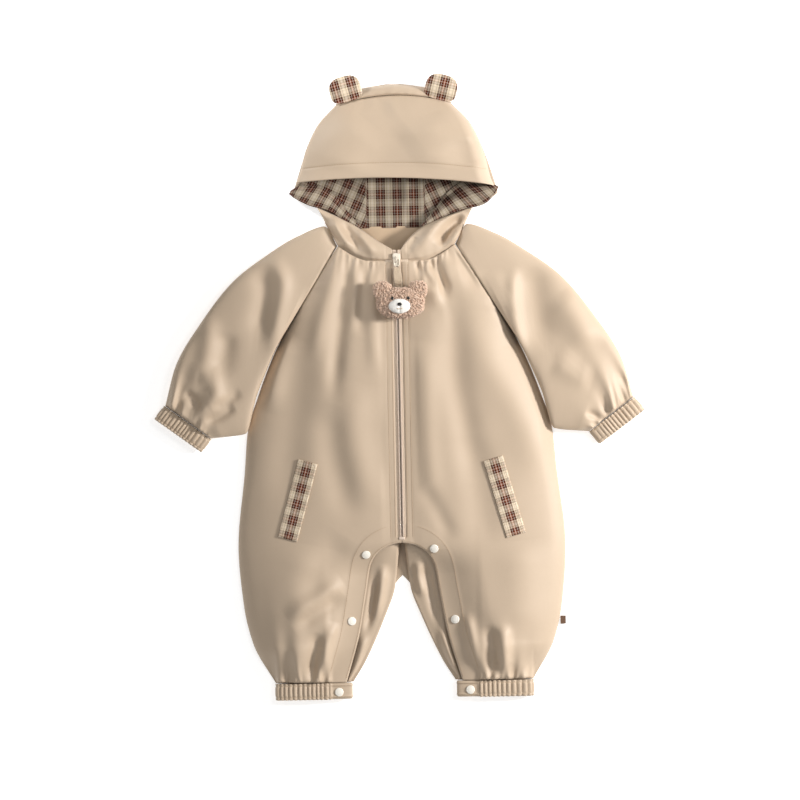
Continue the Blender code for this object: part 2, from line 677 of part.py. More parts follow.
def slider(tape_z, coil_z):
    """Two wings about the coil, joined by a post between its halves, and the bail on top."""
    half = OPENING_HALF - 0.8
    low, high = SLIDER_Y - SLIDER_LENGTH / 2, SLIDER_Y + SLIDER_LENGTH / 2
    wing = coil_z + COIL_HIGH + 0.5
    top = wing + 1.5
    right = [
        (half, top), (half, tape_z + TAPE + 0.4), (COIL_OUT + 0.5, tape_z + TAPE + 0.4),
        (COIL_OUT + 0.5, wing), (COIL_IN - 0.4, wing), (COIL_IN - 0.4, tape_z - 0.7),
        (half - 0.6, tape_z - 0.7), (half - 0.6, tape_z - 2.1),
    ]
    outline = right + [(-x, z) for x, z in reversed(right)]
    bm = bmesh.new()
    face = bm.faces.new([bm.verts.new((x, low, z)) for x, z in outline])
    grown = bmesh.ops.extrude_face_region(bm, geom=[face])["geom"]
    ends = [item for item in grown if isinstance(item, bmesh.types.BMVert)]
    bmesh.ops.translate(bm, verts=ends, vec=(0.0, high - low, 0.0))
    bmesh.ops.recalc_face_normals(bm, faces=bm.faces)
    body = keep(mesh_object("zip_slider", bm), "slider")
    rise, reach = 2.6, 3.6
    arch = [(0.0, SLIDER_Y + reach, top - 0.8), (0.0, SLIDER_Y + reach, top + rise * 0.55)]
    arch += [(0.0, SLIDER_Y + reach * 0.6, top + rise), (0.0, SLIDER_Y - reach * 0.6, top + rise)]
    arch += [(0.0, SLIDER_Y - reach, top + rise * 0.55), (0.0, SLIDER_Y - reach, top - 0.8)]
    boolean(body, helper(wire("slider_bail", arch, 0.65, False)), "UNION")
    return top


def pull(slider_top):
    """The ring under the bail and the ribbon that hangs from it."""
    z = slider_top + RING_WIRE + 0.45
    far = SLIDER_Y + 0.8
    near = far - RING_LENGTH
    corner = 1.6
    points = []
    for cx, cy, start in ((RING_HALF - corner, far - corner, 0), (corner - RING_HALF, far - corner, 90),
                          (corner - RING_HALF, near + corner, 180), (RING_HALF - corner, near + corner, 270)):
        for i in range(4):
            turn = math.radians(start + 30 * i)
            points.append((cx + corner * math.cos(turn), cy + corner * math.sin(turn), z))
    ring = wire("zip_pull_ring", points, RING_WIRE, True)
    keep(ring, "slider")
    top_y = near - RING_WIRE - 0.5
    lean = 2.6

    def strip(u, v):
        return (u - 0.5) * RIBBON_WIDE + lean * (1 - v), mix(RIBBON_END_Y, top_y, v), z

    sheet("pull_ribbon", strip, 2, 4, RIBBON_THICK, "ribbon")


def charm():
    """The plush bear head that hangs from the ribbon."""
    cx, cy = CHARM
    hx, hy, hz = CHARM_HALF
    cz = CHARM_BASE_Z + hz
    keep(ball("charm_head", (cx, cy, cz), CHARM_HALF, 20, 10), "plush")
    clear = helper(ball("charm_head_clearance", (cx, cy, cz), [r + CHARM_GAP for r in CHARM_HALF], 20, 10))

    def on_head(dx, dy):
        return cz + hz * math.sqrt(max(0.0, 1 - (dx / hx) ** 2 - (dy / hy) ** 2))

    for side, label in ((-1, "left"), (1, "right")):
        centre = (cx + side * CHARM_EAR_SPREAD, cy + 15.8, cz + 1.5)
        ear = keep(ball(f"charm_ear_{label}", centre,
                        (CHARM_EAR_RADIUS, CHARM_EAR_RADIUS, 4.0), 14, 8), "plush")
        boolean(ear, clear, "DIFFERENCE")
        eye_at = (side * EYE_AT[0], EYE_AT[1])
        eye = keep(ball(f"charm_eye_{label}", (cx + eye_at[0], cy + eye_at[1], on_head(*eye_at) + 0.9),
                        EYE, 10, 6), "bead")
        boolean(eye, clear, "DIFFERENCE")
    muzzle_z = on_head(*MUZZLE_AT)
    centre = (cx + MUZZLE_AT[0], cy + MUZZLE_AT[1], muzzle_z)
    muzzle = keep(ball("charm_muzzle", centre, MUZZLE, 16, 8), "felt")
    boolean(muzzle, clear, "DIFFERENCE")
    grown = [r + CHARM_GAP for r in MUZZLE]
    clear_muzzle = helper(ball("charm_muzzle_clearance", centre, grown, 16, 8))
    nose_at = (centre[0], centre[1] + 2.0, muzzle_z + MUZZLE[2] + 0.7)
    nose = keep(ball("charm_nose", nose_at, NOSE, 10, 6), "bead")
    boolean(nose, clear_muzzle, "DIFFERENCE")


# ---------------------------------------------------------------- hood

hood_x = curve_through([
    (HOOD_BRIM_Y, HOOD_HALF),
    (HOOD_BRIM_Y + 10.0, HOOD_HALF - 4.0),
    (mix(HOOD_BRIM_Y, HOOD_SEAM_Y, 0.42), HOOD_HALF - 12.5),
    (mix(HOOD_BRIM_Y, HOOD_SEAM_Y, 0.75), HOOD_HALF - 27.5),
    (HOOD_SEAM_Y, HOOD_SEAM_HALF),
])
crown_y = curve_through([(0.0, HOOD_TOP_Y), (0.5, HOOD_TOP_Y - 4.0), (0.8, HOOD_TOP_Y - 12.0),
                         (1.0, HOOD_SEAM_Y + 1.0)])
BACK_LINING_TOP = CLOTH + GAP + LINING
FRONT_LINING_Z = BACK_LINING_TOP + GAP + LINING / 2
HOOD_EDGE_Z = FRONT_LINING_Z + LINING / 2 + GAP + CLOTH / 2


def dome(inset, edge_z, top_share):
    """The hood's front, from the brim to the crown seam, inset for the lining inside it."""
    height = curve_through([(0.0, HOOD_Z), (0.5, HOOD_Z - 3.0), (1.0, HOOD_SEAM_Z)])

    def surface(u, v):
        s, t = 2 * u - 1, v * top_share
        side_y = mix(HOOD_BRIM_Y + inset, HOOD_SEAM_Y - inset, t)
        bow = mix(HOOD_BRIM_BOW, HOOD_SEAM_BOW, t)
        x = math.copysign(abs(s) ** 0.85, s)
        y = side_y + bow * (1 - x * x)
        fall = math.sqrt(max(0.0, 1 - abs(x) ** 2.4))
        return x * (hood_x(side_y) - 1.6 * inset), y, edge_z + max(height(t) - 1.3 * inset, 2.0) * fall

    return surface


def hood_outline(grow, start_y):
    """Right half of the hood's back, from its neck round to the top, grown or shrunk."""
    lower = [(NECK_HALF - 10.0, start_y), (NECK_HALF + 14.0, start_y + 4.0)]
    for across, up in ((0.47, 0.48), (0.86, 0.61), (1.08, 0.79), (1.02, 1.0)):
        lower.append((mix(NECK_HALF, HOOD_HALF, across), mix(start_y, HOOD_BRIM_Y, up)))
    points = [(x + grow * 0.8, y) for x, y in lower]
    points += [(hood_x(mix(HOOD_BRIM_Y, HOOD_SEAM_Y, i / 7)) + grow, mix(HOOD_BRIM_Y, HOOD_SEAM_Y, i / 7))
               for i in range(1, 8)]
    points += [(s * (HOOD_SEAM_HALF + grow), crown_y(s) + grow) for s in (0.9, 0.75, 0.55, 0.3, 0.0)]
    return [(0.0, start_y)] + points


def both_sides(right):
    return right + [(-x, y) for x, y in reversed(right) if x > 0]


def hood():
    flat("hood_back", both_sides(hood_outline(0.0, HOOD_START_Y)), 0.0, CLOTH, "shell")
    lining = hood_outline(-4.0, HOOD_START_Y + 1.5)
    flat("hood_lining_back", both_sides(lining), CLOTH + GAP, LINING, "plaid")
    sheet("hood_front", dome(0.0, HOOD_EDGE_Z, 1.0), 14, 6, CLOTH, "shell")
    sheet("hood_lining_front", dome(2.6, FRONT_LINING_Z, 0.94), 14, 5, LINING, "plaid")

    def crown(u, v):
        s = 2 * u - 1
        seam_y = HOOD_SEAM_Y + HOOD_SEAM_BOW * (1 - s * s) + SEAM_GAP
        low_z = CLOTH + GAP + CLOTH / 2
        seam_z = mix(HOOD_SEAM_Z + HOOD_EDGE_Z, low_z + 1.0, abs(s) ** 3)
        y = mix(seam_y, max(crown_y(abs(s)), seam_y + 2.0), v)
        return s * HOOD_SEAM_HALF * 0.985, y, mix(seam_z, low_z, v**2)

    sheet("hood_crown", crown, 12, 3, CLOTH, "shell")
    for side, label in ((-1, "left"), (1, "right")):
        hood_lip(side, label)
        hood_ear(side, label)


# along the lip, then shares of the way from the neck's half width to the hood's and up to the brim
LIP_LOWER = ((0.0, 1.10, 0.80), (0.2, 0.88, 0.62), (0.5, 0.31, 0.47), (0.8, -0.19, 0.255),
             (1.0, -0.47, 0.12))
LIP_UPPER = ((0.0, 1.0, 0.89), (0.2, 0.745, 0.90), (0.5, 0.20, 0.90), (0.8, -0.33, 0.47),
             (1.0, -0.52, 0.18))


def hood_lip(side, label):
    """The hood's front edge turned out beside the neck, so that its lining shows."""
    lower, upper = (
        path_through([(t, mix(NECK_HALF, HOOD_HALF, across), mix(HOOD_START_Y, HOOD_BRIM_Y, up))
                      for t, across, up in edge])
        for edge in (LIP_LOWER, LIP_UPPER)
    )
    base = BACK_LINING_TOP + GAP + LINING / 2

    def surface(u, v):
        (x0, y0), (x1, y1) = lower(u), upper(u)
        lift = LIP_LIFT * math.sin(math.pi * min(u * 1.3, 1.0)) * (1 - v) ** 1.5
        return mix(x0, x1, v), mix(y0, y1, v), base + lift

    sheet(f"hood_lip_{label}", mirrored(side, surface), 10, 3, LINING, "plaid")


def hood_ear(side, label):
    """A padded ear, rounded at the top, on the line of the crown seam."""
    outline = [(-EAR_HALF * 0.86, 0.0), (EAR_HALF * 0.86, 0.0)]
    for i in range(11):
        turn = math.pi * i / 10
        wide = EAR_HALF * math.copysign(abs(math.cos(turn)) ** 0.8, math.cos(turn))
        outline.append((wide, EAR_LONG * (0.42 + 0.58 * math.sin(turn) ** 0.85)))
    ear = flat(f"hood_ear_{label}", [(side * x, y) for x, y in outline], 0.0, EAR_THICK, "plaid")
    ear.location = Vector((side * EAR_X, EAR_Y, EAR_Z + EAR_THICK / 2)) * METRES
    ear.rotation_euler.z = -side * math.radians(EAR_LEAN)


def main():
    clear_scene()
    back_panel()
    for side, label in ((-1, "left"), (1, "right")):
        front_panel(side, f"front_panel_{label}")
        back_placket(side, f"back_placket_{label}")
        collar(side, f"collar_{label}")
        sleeve(side, f"sleeve_{label}")
        casing(side, f"sleeve_cuff_{label}", WRIST_CUFF)
        elastic(side, f"sleeve_elastic_{label}", WRIST_CUFF)
        casing(side, f"leg_cuff_{label}", LEG_CUFF)
        elastic(side, f"leg_elastic_{label}", LEG_CUFF)
        pocket(side, label)
        snaps(side, label)
    top_y = BACK_NECK_Y - 1.0
    facing = [(-FACING_HALF, FACING_LOW_Y), (FACING_HALF, FACING_LOW_Y)]
    facing += [(x, top_y) for x, y in reversed(facing)]
    flat("neck_facing", facing, CLOTH + GAP, LINING, "shell")
    x, low_y = outer_x(LABEL_Y) + SEAM_GAP, LABEL_Y - LABEL_LONG / 2
    box("side_label", (x, low_y, CLOTH), (x + LABEL_WIDE, low_y + LABEL_LONG, CLOTH + LABEL_THICK), "label")
    tape_z, coil_z = zip_parts()
    pull(slider(tape_z, coil_z))
    charm()
    hood()


main()
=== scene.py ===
"""A toddler's hooded romper, laid flat with its front up: the finished model.

Shapes are worked out in millimetres and turned into metres where a mesh is made. +Z is up, out of
the garment's front, and +Y runs from the leg cuffs to the hood.
"""

import math
import random

import bmesh
import bpy
import numpy as np
from mathutils import Matrix, Vector
from mathutils.bvhtree import BVHTree


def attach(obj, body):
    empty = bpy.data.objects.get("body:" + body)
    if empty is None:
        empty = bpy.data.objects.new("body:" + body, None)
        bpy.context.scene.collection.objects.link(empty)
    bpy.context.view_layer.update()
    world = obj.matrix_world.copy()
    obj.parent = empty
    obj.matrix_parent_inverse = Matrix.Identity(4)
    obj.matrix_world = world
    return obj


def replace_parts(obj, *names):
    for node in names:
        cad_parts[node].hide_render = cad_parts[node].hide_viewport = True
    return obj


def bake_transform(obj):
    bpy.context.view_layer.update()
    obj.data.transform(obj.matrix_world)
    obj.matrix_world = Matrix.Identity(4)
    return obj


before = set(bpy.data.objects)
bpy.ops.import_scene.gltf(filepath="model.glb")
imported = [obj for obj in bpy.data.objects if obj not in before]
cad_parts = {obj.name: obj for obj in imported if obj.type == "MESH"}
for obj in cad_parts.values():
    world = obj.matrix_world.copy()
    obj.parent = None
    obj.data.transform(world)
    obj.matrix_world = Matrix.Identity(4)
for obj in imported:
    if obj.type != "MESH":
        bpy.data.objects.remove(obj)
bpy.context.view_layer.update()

# ---------------------------------------------------------------- camera, floor and light

MM = 0.001
SIDES = ((-1, "left"), (1, "right"))


def add(name, data):
    obj = bpy.data.objects.new(name, data)
    bpy.context.scene.collection.objects.link(obj)
    return obj


camera = add("camera", bpy.data.cameras.new("camera"))
camera.data.type = "PERSP"
camera.data.lens, camera.data.sensor_width = 200.0, 36.0
camera.location = (0.0009, -0.0165, 5.422)
camera.rotation_euler = (0.0, 0.0, -0.0192)
camera.data.clip_start, camera.data.clip_end = 0.05, 20.0
bpy.context.scene.camera = camera
bpy.context.scene.view_settings.view_transform = "Standard"


def lamp(name, place, aim, size, power, colour=(1.0, 1.0, 1.0)):
    data = bpy.data.lights.new(name, "AREA")
    data.shape = "DISK"
    data.size, data.energy, data.color = size, power, colour
    obj = add(name, data)
    obj.location = place
    obj.rotation_euler = (Vector(aim) - Vector(place)).to_track_quat("-Z", "Y").to_euler()
    return obj


lamp("key", (1.85, 0.3, 1.05), (0.05, -0.1, 0.0), 0.4, 58.0, (1.0, 0.98, 0.96))
lamp("gloss", (1.0, 0.45, 1.9), (0.05, -0.05, 0.0), 0.5, 5.0)
lamp("fill", (-0.7, -0.9, 2.0), (0.0, -0.15, 0.0), 1.0, 4.5)
spot = bpy.data.lights.new("hood_light", "SPOT")
spot.energy, spot.spot_size, spot.spot_blend, spot.shadow_soft_size = 27.0, math.radians(22.0), 0.7, 0.08
hood_lamp = add("hood_light", spot)
hood_lamp.location = (-0.8, 0.85, 0.5)
hood_lamp.rotation_euler = (Vector((-0.06, 0.3, 0.02)) - hood_lamp.location).to_track_quat("-Z", "Y").to_euler()
world = bpy.data.worlds.new("studio")
bpy.context.scene.world = world
world.use_nodes = True
world.node_tree.nodes["Background"].inputs["Color"].default_value = (1.0, 0.995, 0.985, 1.0)
world.node_tree.nodes["Background"].inputs["Strength"].default_value = 0.33

# ---------------------------------------------------------------- numbers shared with the solids

NECK_Y, NECK_HALF, RAGLAN_TOP_Y, BACK_NECK_Y = 152.5, 70.0, 172.0, 191.5
UNDERARM_HALF, UNDERARM_Y = 149.0, 47.5
WAIST_HALF, WAIST_Y, HIP_HALF, HIP_Y = 190.0, -100.0, 199.5, -195.0
ANKLE_HALF, CROTCH_Y, LEG_END_Y = 157.0, -190.0, -359.0
FRONT_HEM_IN, BACK_HEM_IN, LEG_GAP_HALF = 70.5, 62.5, 4.5
RIDGE_Z, RAGLAN_Z, INSEAM_Z, SIDE_Z = 26.0, 20.0, 12.0, 2.4
CHEST_RISE, LEG_RISE = 4.0, 15.0
BAND, CASING_WALLS, CUFF_HEIGHT, ROUNDNESS = 20.0, 3.4, 15.0, 0.6
WRIST_HALF, WRIST, WRIST_TURN, SEAM_GAP = 35.0, (257.7, -38.7), 36.5, 1.5
OPENING_HALF, ZIP_TOP_Y, SLIDER_Y = 5.5, 166.0, 154.0
SNAP_RADIUS, SNAP_INSET, SNAP_YS = 5.35, 12.4, (-203.5, -284.3)
HOOD_HALF, HOOD_BRIM_Y, HOOD_BRIM_BOW = 121.0, 246.0, 7.0
HOOD_SEAM_Y, HOOD_SEAM_HALF, HOOD_SEAM_BOW, HOOD_TOP_Y = 343.5, 71.0, 11.0, 369.0
HOOD_Z, HOOD_SEAM_Z, HOOD_EDGE_Z = 31.0, 8.0, 5.4
WELT, WELT_WIDE, WELT_LONG, WELT_TILT = (125.7, -136.2), 24.4, 97.6, 15.7


def ease(value, start, end):
    share = np.clip((value - start) / (end - start), 0.0, 1.0)
    return share * share * (3.0 - 2.0 * share)


def mix(a, b, share):
    return a + (b - a) * share


def curve_through(points):
    """A smooth function through (input, output) points that never overshoots them."""
    xs, ys = np.array(sorted(points), float).T
    steps = np.diff(xs)
    slopes = np.diff(ys) / steps
    inner = [2 * a * b / (a + b) if a * b > 0 else 0.0 for a, b in zip(slopes, slopes[1:])]
    tangents = np.array([slopes[0], *inner, slopes[-1]])

    def at(x):
        x = np.clip(x, xs[0], xs[-1])
        i = np.clip(np.searchsorted(xs, x, side="right") - 1, 0, len(steps) - 1)
        t = (x - xs[i]) / steps[i]
        return (
            (1 + 2 * t) * (1 - t) ** 2 * ys[i]
            + t * (1 - t) ** 2 * steps[i] * tangents[i]
            + t * t * (3 - 2 * t) * ys[i + 1]
            - t * t * (1 - t) * steps[i] * tangents[i + 1]
        )

    return at


def path_through(points):
    """A smooth path: a function of 0..1 through (share, x, y) points."""
    xs = curve_through([(t, x) for t, x, y in points])
    ys = curve_through([(t, y) for t, x, y in points])
    return lambda t: (xs(t), ys(t))


def even_path(points, count=40):
    """The same line drawn smoothly, as an array of points."""
    t = np.linspace(0.0, 1.0, len(points))
    x, y = path_through([(s, *p) for s, p in zip(t, points)])(np.linspace(0.0, 1.0, count))
    return np.column_stack([x, y])


def along_path(x, y, points):
    """Distance from each (x, y) to a line of points, and the share of its length there."""
    best, share = np.full(np.shape(x), 1e9), np.zeros(np.shape(x))
    lengths = np.hypot(*np.diff(points, axis=0).T)
    done, total = 0.0, lengths.sum()
    for a, b, long in zip(points, points[1:], lengths):
        run = b - a
        t = np.clip(((x - a[0]) * run[0] + (y - a[1]) * run[1]) / long**2, 0.0, 1.0)
        d = np.hypot(x - a[0] - t * run[0], y - a[1] - t * run[1])
        near = d < best
        best = np.where(near, d, best)
        share = np.where(near, (done + t * long) / total, share)
        done += long
    return best, share


def folds(x, y, strokes):
    """Soft folds: each stroke is (height, half width, points of its crest or valley)."""
    total = np.zeros(np.shape(x))
    for height, width, points in strokes:
        d, s = along_path(x, y, even_path(points))
        total += 1.7 * height * np.exp(-((d / (1.15 * width)) ** 2)) * ease(s, -0.05, 0.25) * ease(s, 1.05, 0.7)
    return total


def gathers(s, d, low, high, pitch, depth, reach, seed):
    """Pleats that start at a seam: s runs along it, d away from it."""
    rng = random.Random(seed)
    total = np.zeros(np.shape(s))
    at = low + pitch * rng.uniform(0.2, 0.8)
    while at < high:
        wide = pitch * rng.uniform(0.24, 0.4)
        long = reach * rng.uniform(0.45, 1.6)
        lean = rng.uniform(-0.22, 0.22)
        here = (s - at - lean * d) / (wide * (1 + d / (1.3 * reach)))
        total += depth * rng.uniform(0.55, 1.2) * np.exp(-(here**2)) * np.exp(-d / long)
        at += pitch * rng.uniform(0.7, 1.4)
    return total * ease(d, -0.4, 2.5)


def wander(x, y, scale, seed):
    """A smooth random height between about -1 and 1."""
    rng = random.Random(seed)
    total = np.zeros(np.shape(x))
    for _ in range(7):
        turn, phase = rng.uniform(0, 2 * math.pi), rng.uniform(0, 2 * math.pi)
        size = scale * rng.uniform(0.6, 1.7)
        total += np.sin((x * math.cos(turn) + y * math.sin(turn)) * 2 * math.pi / size + phase)
    return total / 3.5


def roll(d, radius):
    """How far a folded edge drops at a distance d in from it."""
    inside = np.clip(1.0 - d / radius, 0.0, 1.0)
    return -radius * (1.0 - np.sqrt(1.0 - inside**2))


def graded(count, wide, fine=(0.0, 0.35, 0.8, 1.4, 2.2, 3.2, 4.5)):
    """Shares of 0..1 with close stations near both ends of a width in millimetres."""
    near = [f / wide for f in fine]
    middle = np.linspace(near[-1], 1.0 - near[-1], count)[1:-1]
    return np.array(near + list(middle) + [1.0 - f for f in reversed(near)])


# ---------------------------------------------------------------- outlines

raglan_points = [
    (RAGLAN_TOP_Y, NECK_HALF + 1.0),
    (mix(UNDERARM_Y, RAGLAN_TOP_Y, 0.72), mix(UNDERARM_HALF, NECK_HALF, 0.69)),
    (mix(UNDERARM_Y, RAGLAN_TOP_Y, 0.37), mix(UNDERARM_HALF, NECK_HALF, 0.35)),
]
outer_x = curve_through(raglan_points + [
    (UNDERARM_Y, UNDERARM_HALF),
    (mix(UNDERARM_Y, WAIST_Y, 0.38), mix(UNDERARM_HALF, WAIST_HALF, 0.56)),
    (mix(UNDERARM_Y, WAIST_Y, 0.69), mix(UNDERARM_HALF, WAIST_HALF, 0.9)),
    (WAIST_Y, WAIST_HALF),
    (HIP_Y, HIP_HALF),
    (mix(HIP_Y, LEG_END_Y, 0.43), mix(HIP_HALF, ANKLE_HALF, 0.13)),
    (mix(HIP_Y, LEG_END_Y, 0.71), mix(HIP_HALF, ANKLE_HALF, 0.38)),
    (LEG_END_Y, ANKLE_HALF),
])
neck_y = curve_through([
    (OPENING_HALF, NECK_Y), (mix(OPENING_HALF, NECK_HALF, 0.47), NECK_Y + 1.0),
    (mix(OPENING_HALF, NECK_HALF, 0.65), mix(NECK_Y, RAGLAN_TOP_Y, 0.25)),
    (mix(OPENING_HALF, NECK_HALF, 0.86), mix(NECK_Y, RAGLAN_TOP_Y, 0.66)),
    (NECK_HALF, RAGLAN_TOP_Y),
])
inseam_points = [
    (CROTCH_Y, 0.3),
    (CROTCH_Y - 0.4, OPENING_HALF),
    (CROTCH_Y - 4.6, OPENING_HALF + 14.0),
    (CROTCH_Y - 13.7, OPENING_HALF + 26.2),
    (CROTCH_Y - 27.8, OPENING_HALF + 33.5),
    (mix(CROTCH_Y, LEG_END_Y, 0.33), mix(OPENING_HALF, FRONT_HEM_IN, 0.59)),
    (mix(CROTCH_Y, LEG_END_Y, 0.65), mix(OPENING_HALF, FRONT_HEM_IN, 0.74)),
    (LEG_END_Y, FRONT_HEM_IN),
]
inseam_x = curve_through(inseam_points)
leg_inner_x = curve_through([
    (CROTCH_Y + 6.0, LEG_GAP_HALF - 2.5),
    (CROTCH_Y - 16.0, LEG_GAP_HALF),
    (mix(CROTCH_Y, LEG_END_Y, 0.33), mix(LEG_GAP_HALF, BACK_HEM_IN, 0.09)),
    (mix(CROTCH_Y, LEG_END_Y, 0.51), mix(LEG_GAP_HALF, BACK_HEM_IN, 0.28)),
    (mix(CROTCH_Y, LEG_END_Y, 0.85), mix(LEG_GAP_HALF, BACK_HEM_IN, 0.73)),
    (LEG_END_Y, BACK_HEM_IN),
])
inseam_rows = np.concatenate([CROTCH_Y - np.array([0, 0.15, 0.4, 1, 2, 3.3, 4.6, 7, 10]),
                              np.linspace(CROTCH_Y - 13.7, LEG_END_Y, 60)])
INSEAM = np.column_stack([inseam_x(inseam_rows), inseam_rows])


def inner_x(y):
    """The front's inner edge: beside the zip, meeting under its stop, then along the inseam."""
    return np.where(y > CROTCH_Y, mix(0.3, OPENING_HALF, ease(y, CROTCH_Y + 3.6, CROTCH_Y + 6.6)), inseam_x(y))


def leg_end_z(x):
    middle, half = (ANKLE_HALF + BACK_HEM_IN) / 2, (ANKLE_HALF - BACK_HEM_IN) / 2
    share = np.minimum(np.abs(x - middle) / half, 1.0)
    base = np.where(x < middle, CUFF_HEIGHT / 2, SIDE_Z)
    return base + (CUFF_HEIGHT - 0.6 - base) * (1.0 - share ** (1 / ROUNDNESS)) ** ROUNDNESS


# Folds of each side as (height, half width, crest points)
FRONT_FOLDS = {
    -1: [
        (-3.4, 9, [(-57, 160), (-60, 126), (-68, 86), (-76, 30), (-80, -20)]),
        (2.0, 9, [(-72, 162), (-82, 120), (-94, 78), (-104, 30)]),
        (-2.0, 7, [(-35, 152), (-42, 110), (-46, 60)]),
        (1.8, 7, [(-46, 156), (-52, 118), (-57, 74)]),
        (1.6, 8, [(-24, 150), (-28, 105), (-30, 60), (-28, 10)]),
        (3.0, 12, [(-128, 66), (-140, 50), (-152, 11), (-160, -30)]),
        (-2.6, 20, [(-112, 60), (-124, -10), (-134, -80), (-140, -150)]),
        (2.4, 18, [(-48, 6), (-58, -45), (-50, -95), (-38, -150)]),
        (-2.4, 16, [(-84, -20), (-82, -70), (-72, -120), (-58, -168)]),
        (-1.8, 16, [(-70, -180), (-92, -215), (-120, -262)]),
        (2.2, 26, [(-112, -190), (-126, -250), (-126, -310)]),
        (2.8, 9, [(-72, -236), (-104, -256), (-142, -278)]),
        (-2.4, 8, [(-72, -252), (-102, -272), (-134, -292)]),
        (3.2, 6, [(-84, -284), (-92, -316), (-98, -350)]),
        (-3.0, 6, [(-104, -296), (-110, -326), (-113, -354)]),
    ],
    1: [
        (-2.2, 5, [(20, 151), (30, 141), (44, 118)]),
        (-2.6, 5, [(37, 154), (47, 141), (64, 112)]),
        (-2.2, 5, [(50, 160), (53, 137), (60, 100)]),
        (1.8, 7, [(30, 150), (40, 126), (50, 90)]),
        (-2.0, 8, [(64, 168), (84, 142), (100, 116)]),
        (-3.4, 15, [(56, 129), (69, 86), (68, 30), (81, -55), (90, -120)]),
        (3.4, 22, [(97, 92), (112, 29), (140, -20), (160, -70), (172, -130)]),
        (-2.6, 18, [(88, -60), (94, -120), (104, -200)]),
        (1.8, 11, [(31, 70), (33, 10), (34, -60), (38, -120), (46, -168)]),
        (-1.6, 9, [(28, -120), (46, -156), (62, -190)]),
        (2.2, 24, [(142, -190), (144, -250), (138, -310)]),
        (3.2, 6, [(76, -276), (84, -312), (92, -350)]),
        (-3.0, 7, [(102, -290), (108, -322), (110, -354)]),
        (2.6, 7, [(120, -290), (124, -322), (126, -352)]),
    ],
}


body_start = curve_through([(CROTCH_Y + 80.0, OPENING_HALF), (CROTCH_Y, 16.0), (CROTCH_Y - 50.0, 36.0),
                            (CROTCH_Y - 110.0, 52.0), (LEG_END_Y, FRONT_HEM_IN)])


def front_z(x, y, side=1):
    """Height of a front panel's upper face."""
    x = np.abs(x)
    start, end = body_start(y), outer_x(y)
    u = np.clip((x - start) / (end - start), 0.0, 1.0)
    edge = mix(SIDE_Z, RAGLAN_Z, ease(y, UNDERARM_Y, mix(UNDERARM_Y, RAGLAN_TOP_Y, 0.5)))
    inner = mix(RIDGE_Z, RAGLAN_Z + 2.0, ease(y, NECK_Y, RAGLAN_TOP_Y))
    hump = np.sin(math.pi * u)
    below_neck = np.maximum(neck_y(x) - y, 0.0)
    z = edge + (inner - edge) * np.sqrt(1.0 - u**2.6) + CHEST_RISE * hump * ease(below_neck, 0.0, 30.0)
    inseam, _ = along_path(x, y, INSEAM)
    drop = ease(y, CROTCH_Y + 2.0, CROTCH_Y - 40.0)
    z = z - drop * (z - INSEAM_Z - 2.0) * (1.0 - ease(inseam, -6.0, 58.0)) * ease(u, 1.0, 0.6)
    z = mix(z, leg_end_z(x), ease(y, LEG_END_Y + 45.0, LEG_END_Y))
    calm = np.where(y > CROTCH_Y - 10.0, ease(x, 14.0, 26.0), ease(inseam, 2.0, 26.0)) * ease(u, 1.0, 0.9)
    z = z + calm * (folds(side * x, y, FRONT_FOLDS[side]) + 0.7 * wander(x, y, 150.0, 5 + side))
    z = z + calm * gathers(x, below_neck, 18.0, 72.0, 7.5, 2.1, 30.0, 31 + side)
    z = z - calm * gathers(x, below_neck, 18.0, 72.0, 5.5, 1.5, 11.0, 35 + side)
    up = y - LEG_END_Y
    smooth_end = ease(x, BACK_HEM_IN + 24.0, BACK_HEM_IN + 34.0)
    coarse = gathers(x, up, BACK_HEM_IN + 20.0, ANKLE_HALF + 4.0, 16.0, 7.5, 44.0, 44 + side)
    fine = gathers(x, up, BACK_HEM_IN + 26.0, ANKLE_HALF, 8.0, 3.6, 18.0, 41 + side)
    z = z + smooth_end * ease(u, 1.0, 0.93) * (coarse + fine)
    raglan = np.where(y > UNDERARM_Y, (end - x) * 0.85, 99.0)
    puckers = gathers(y, np.maximum(raglan, 0.0), UNDERARM_Y, RAGLAN_TOP_Y, 10.0, 1.1, 9.0, 51 + side)
    z = z + puckers - 1.1 * np.exp(-((raglan / 1.6) ** 2)) - 1.2 * np.exp(-((below_neck / 1.6) ** 2))
    return np.maximum(z, 1.7)


# ---------------------------------------------------------------- materials


def wire_nodes(tree, kind, inputs=None, **settings):
    """Adds a node, sets its options and joins or fills its inputs."""
    made = tree.nodes.new(kind)
    for key, value in settings.items():
        setattr(made, key, value)
    for key, value in (inputs or {}).items():
        if isinstance(value, bpy.types.NodeSocket):
            tree.links.new(value, made.inputs[key])
        else:
            made.inputs[key].default_value = value
    return made


def sums(tree, operation, a, b=0.0, c=None):
    given = {0: a, 1: b} if c is None else {0: a, 1: b, 2: c}
    return wire_nodes(tree, "ShaderNodeMath", given, operation=operation).outputs[0]


def group_tree(name, outputs, place="Place"):
    tree = bpy.data.node_groups.new(name, "ShaderNodeTree")
    tree.interface.new_socket(place, in_out="INPUT", socket_type="NodeSocketVector")
    for title, kind in outputs:
        tree.interface.new_socket(title, in_out="OUTPUT", socket_type=kind)
    return tree, tree.nodes.new("NodeGroupInput").outputs[0], tree.nodes.new("NodeGroupOutput")


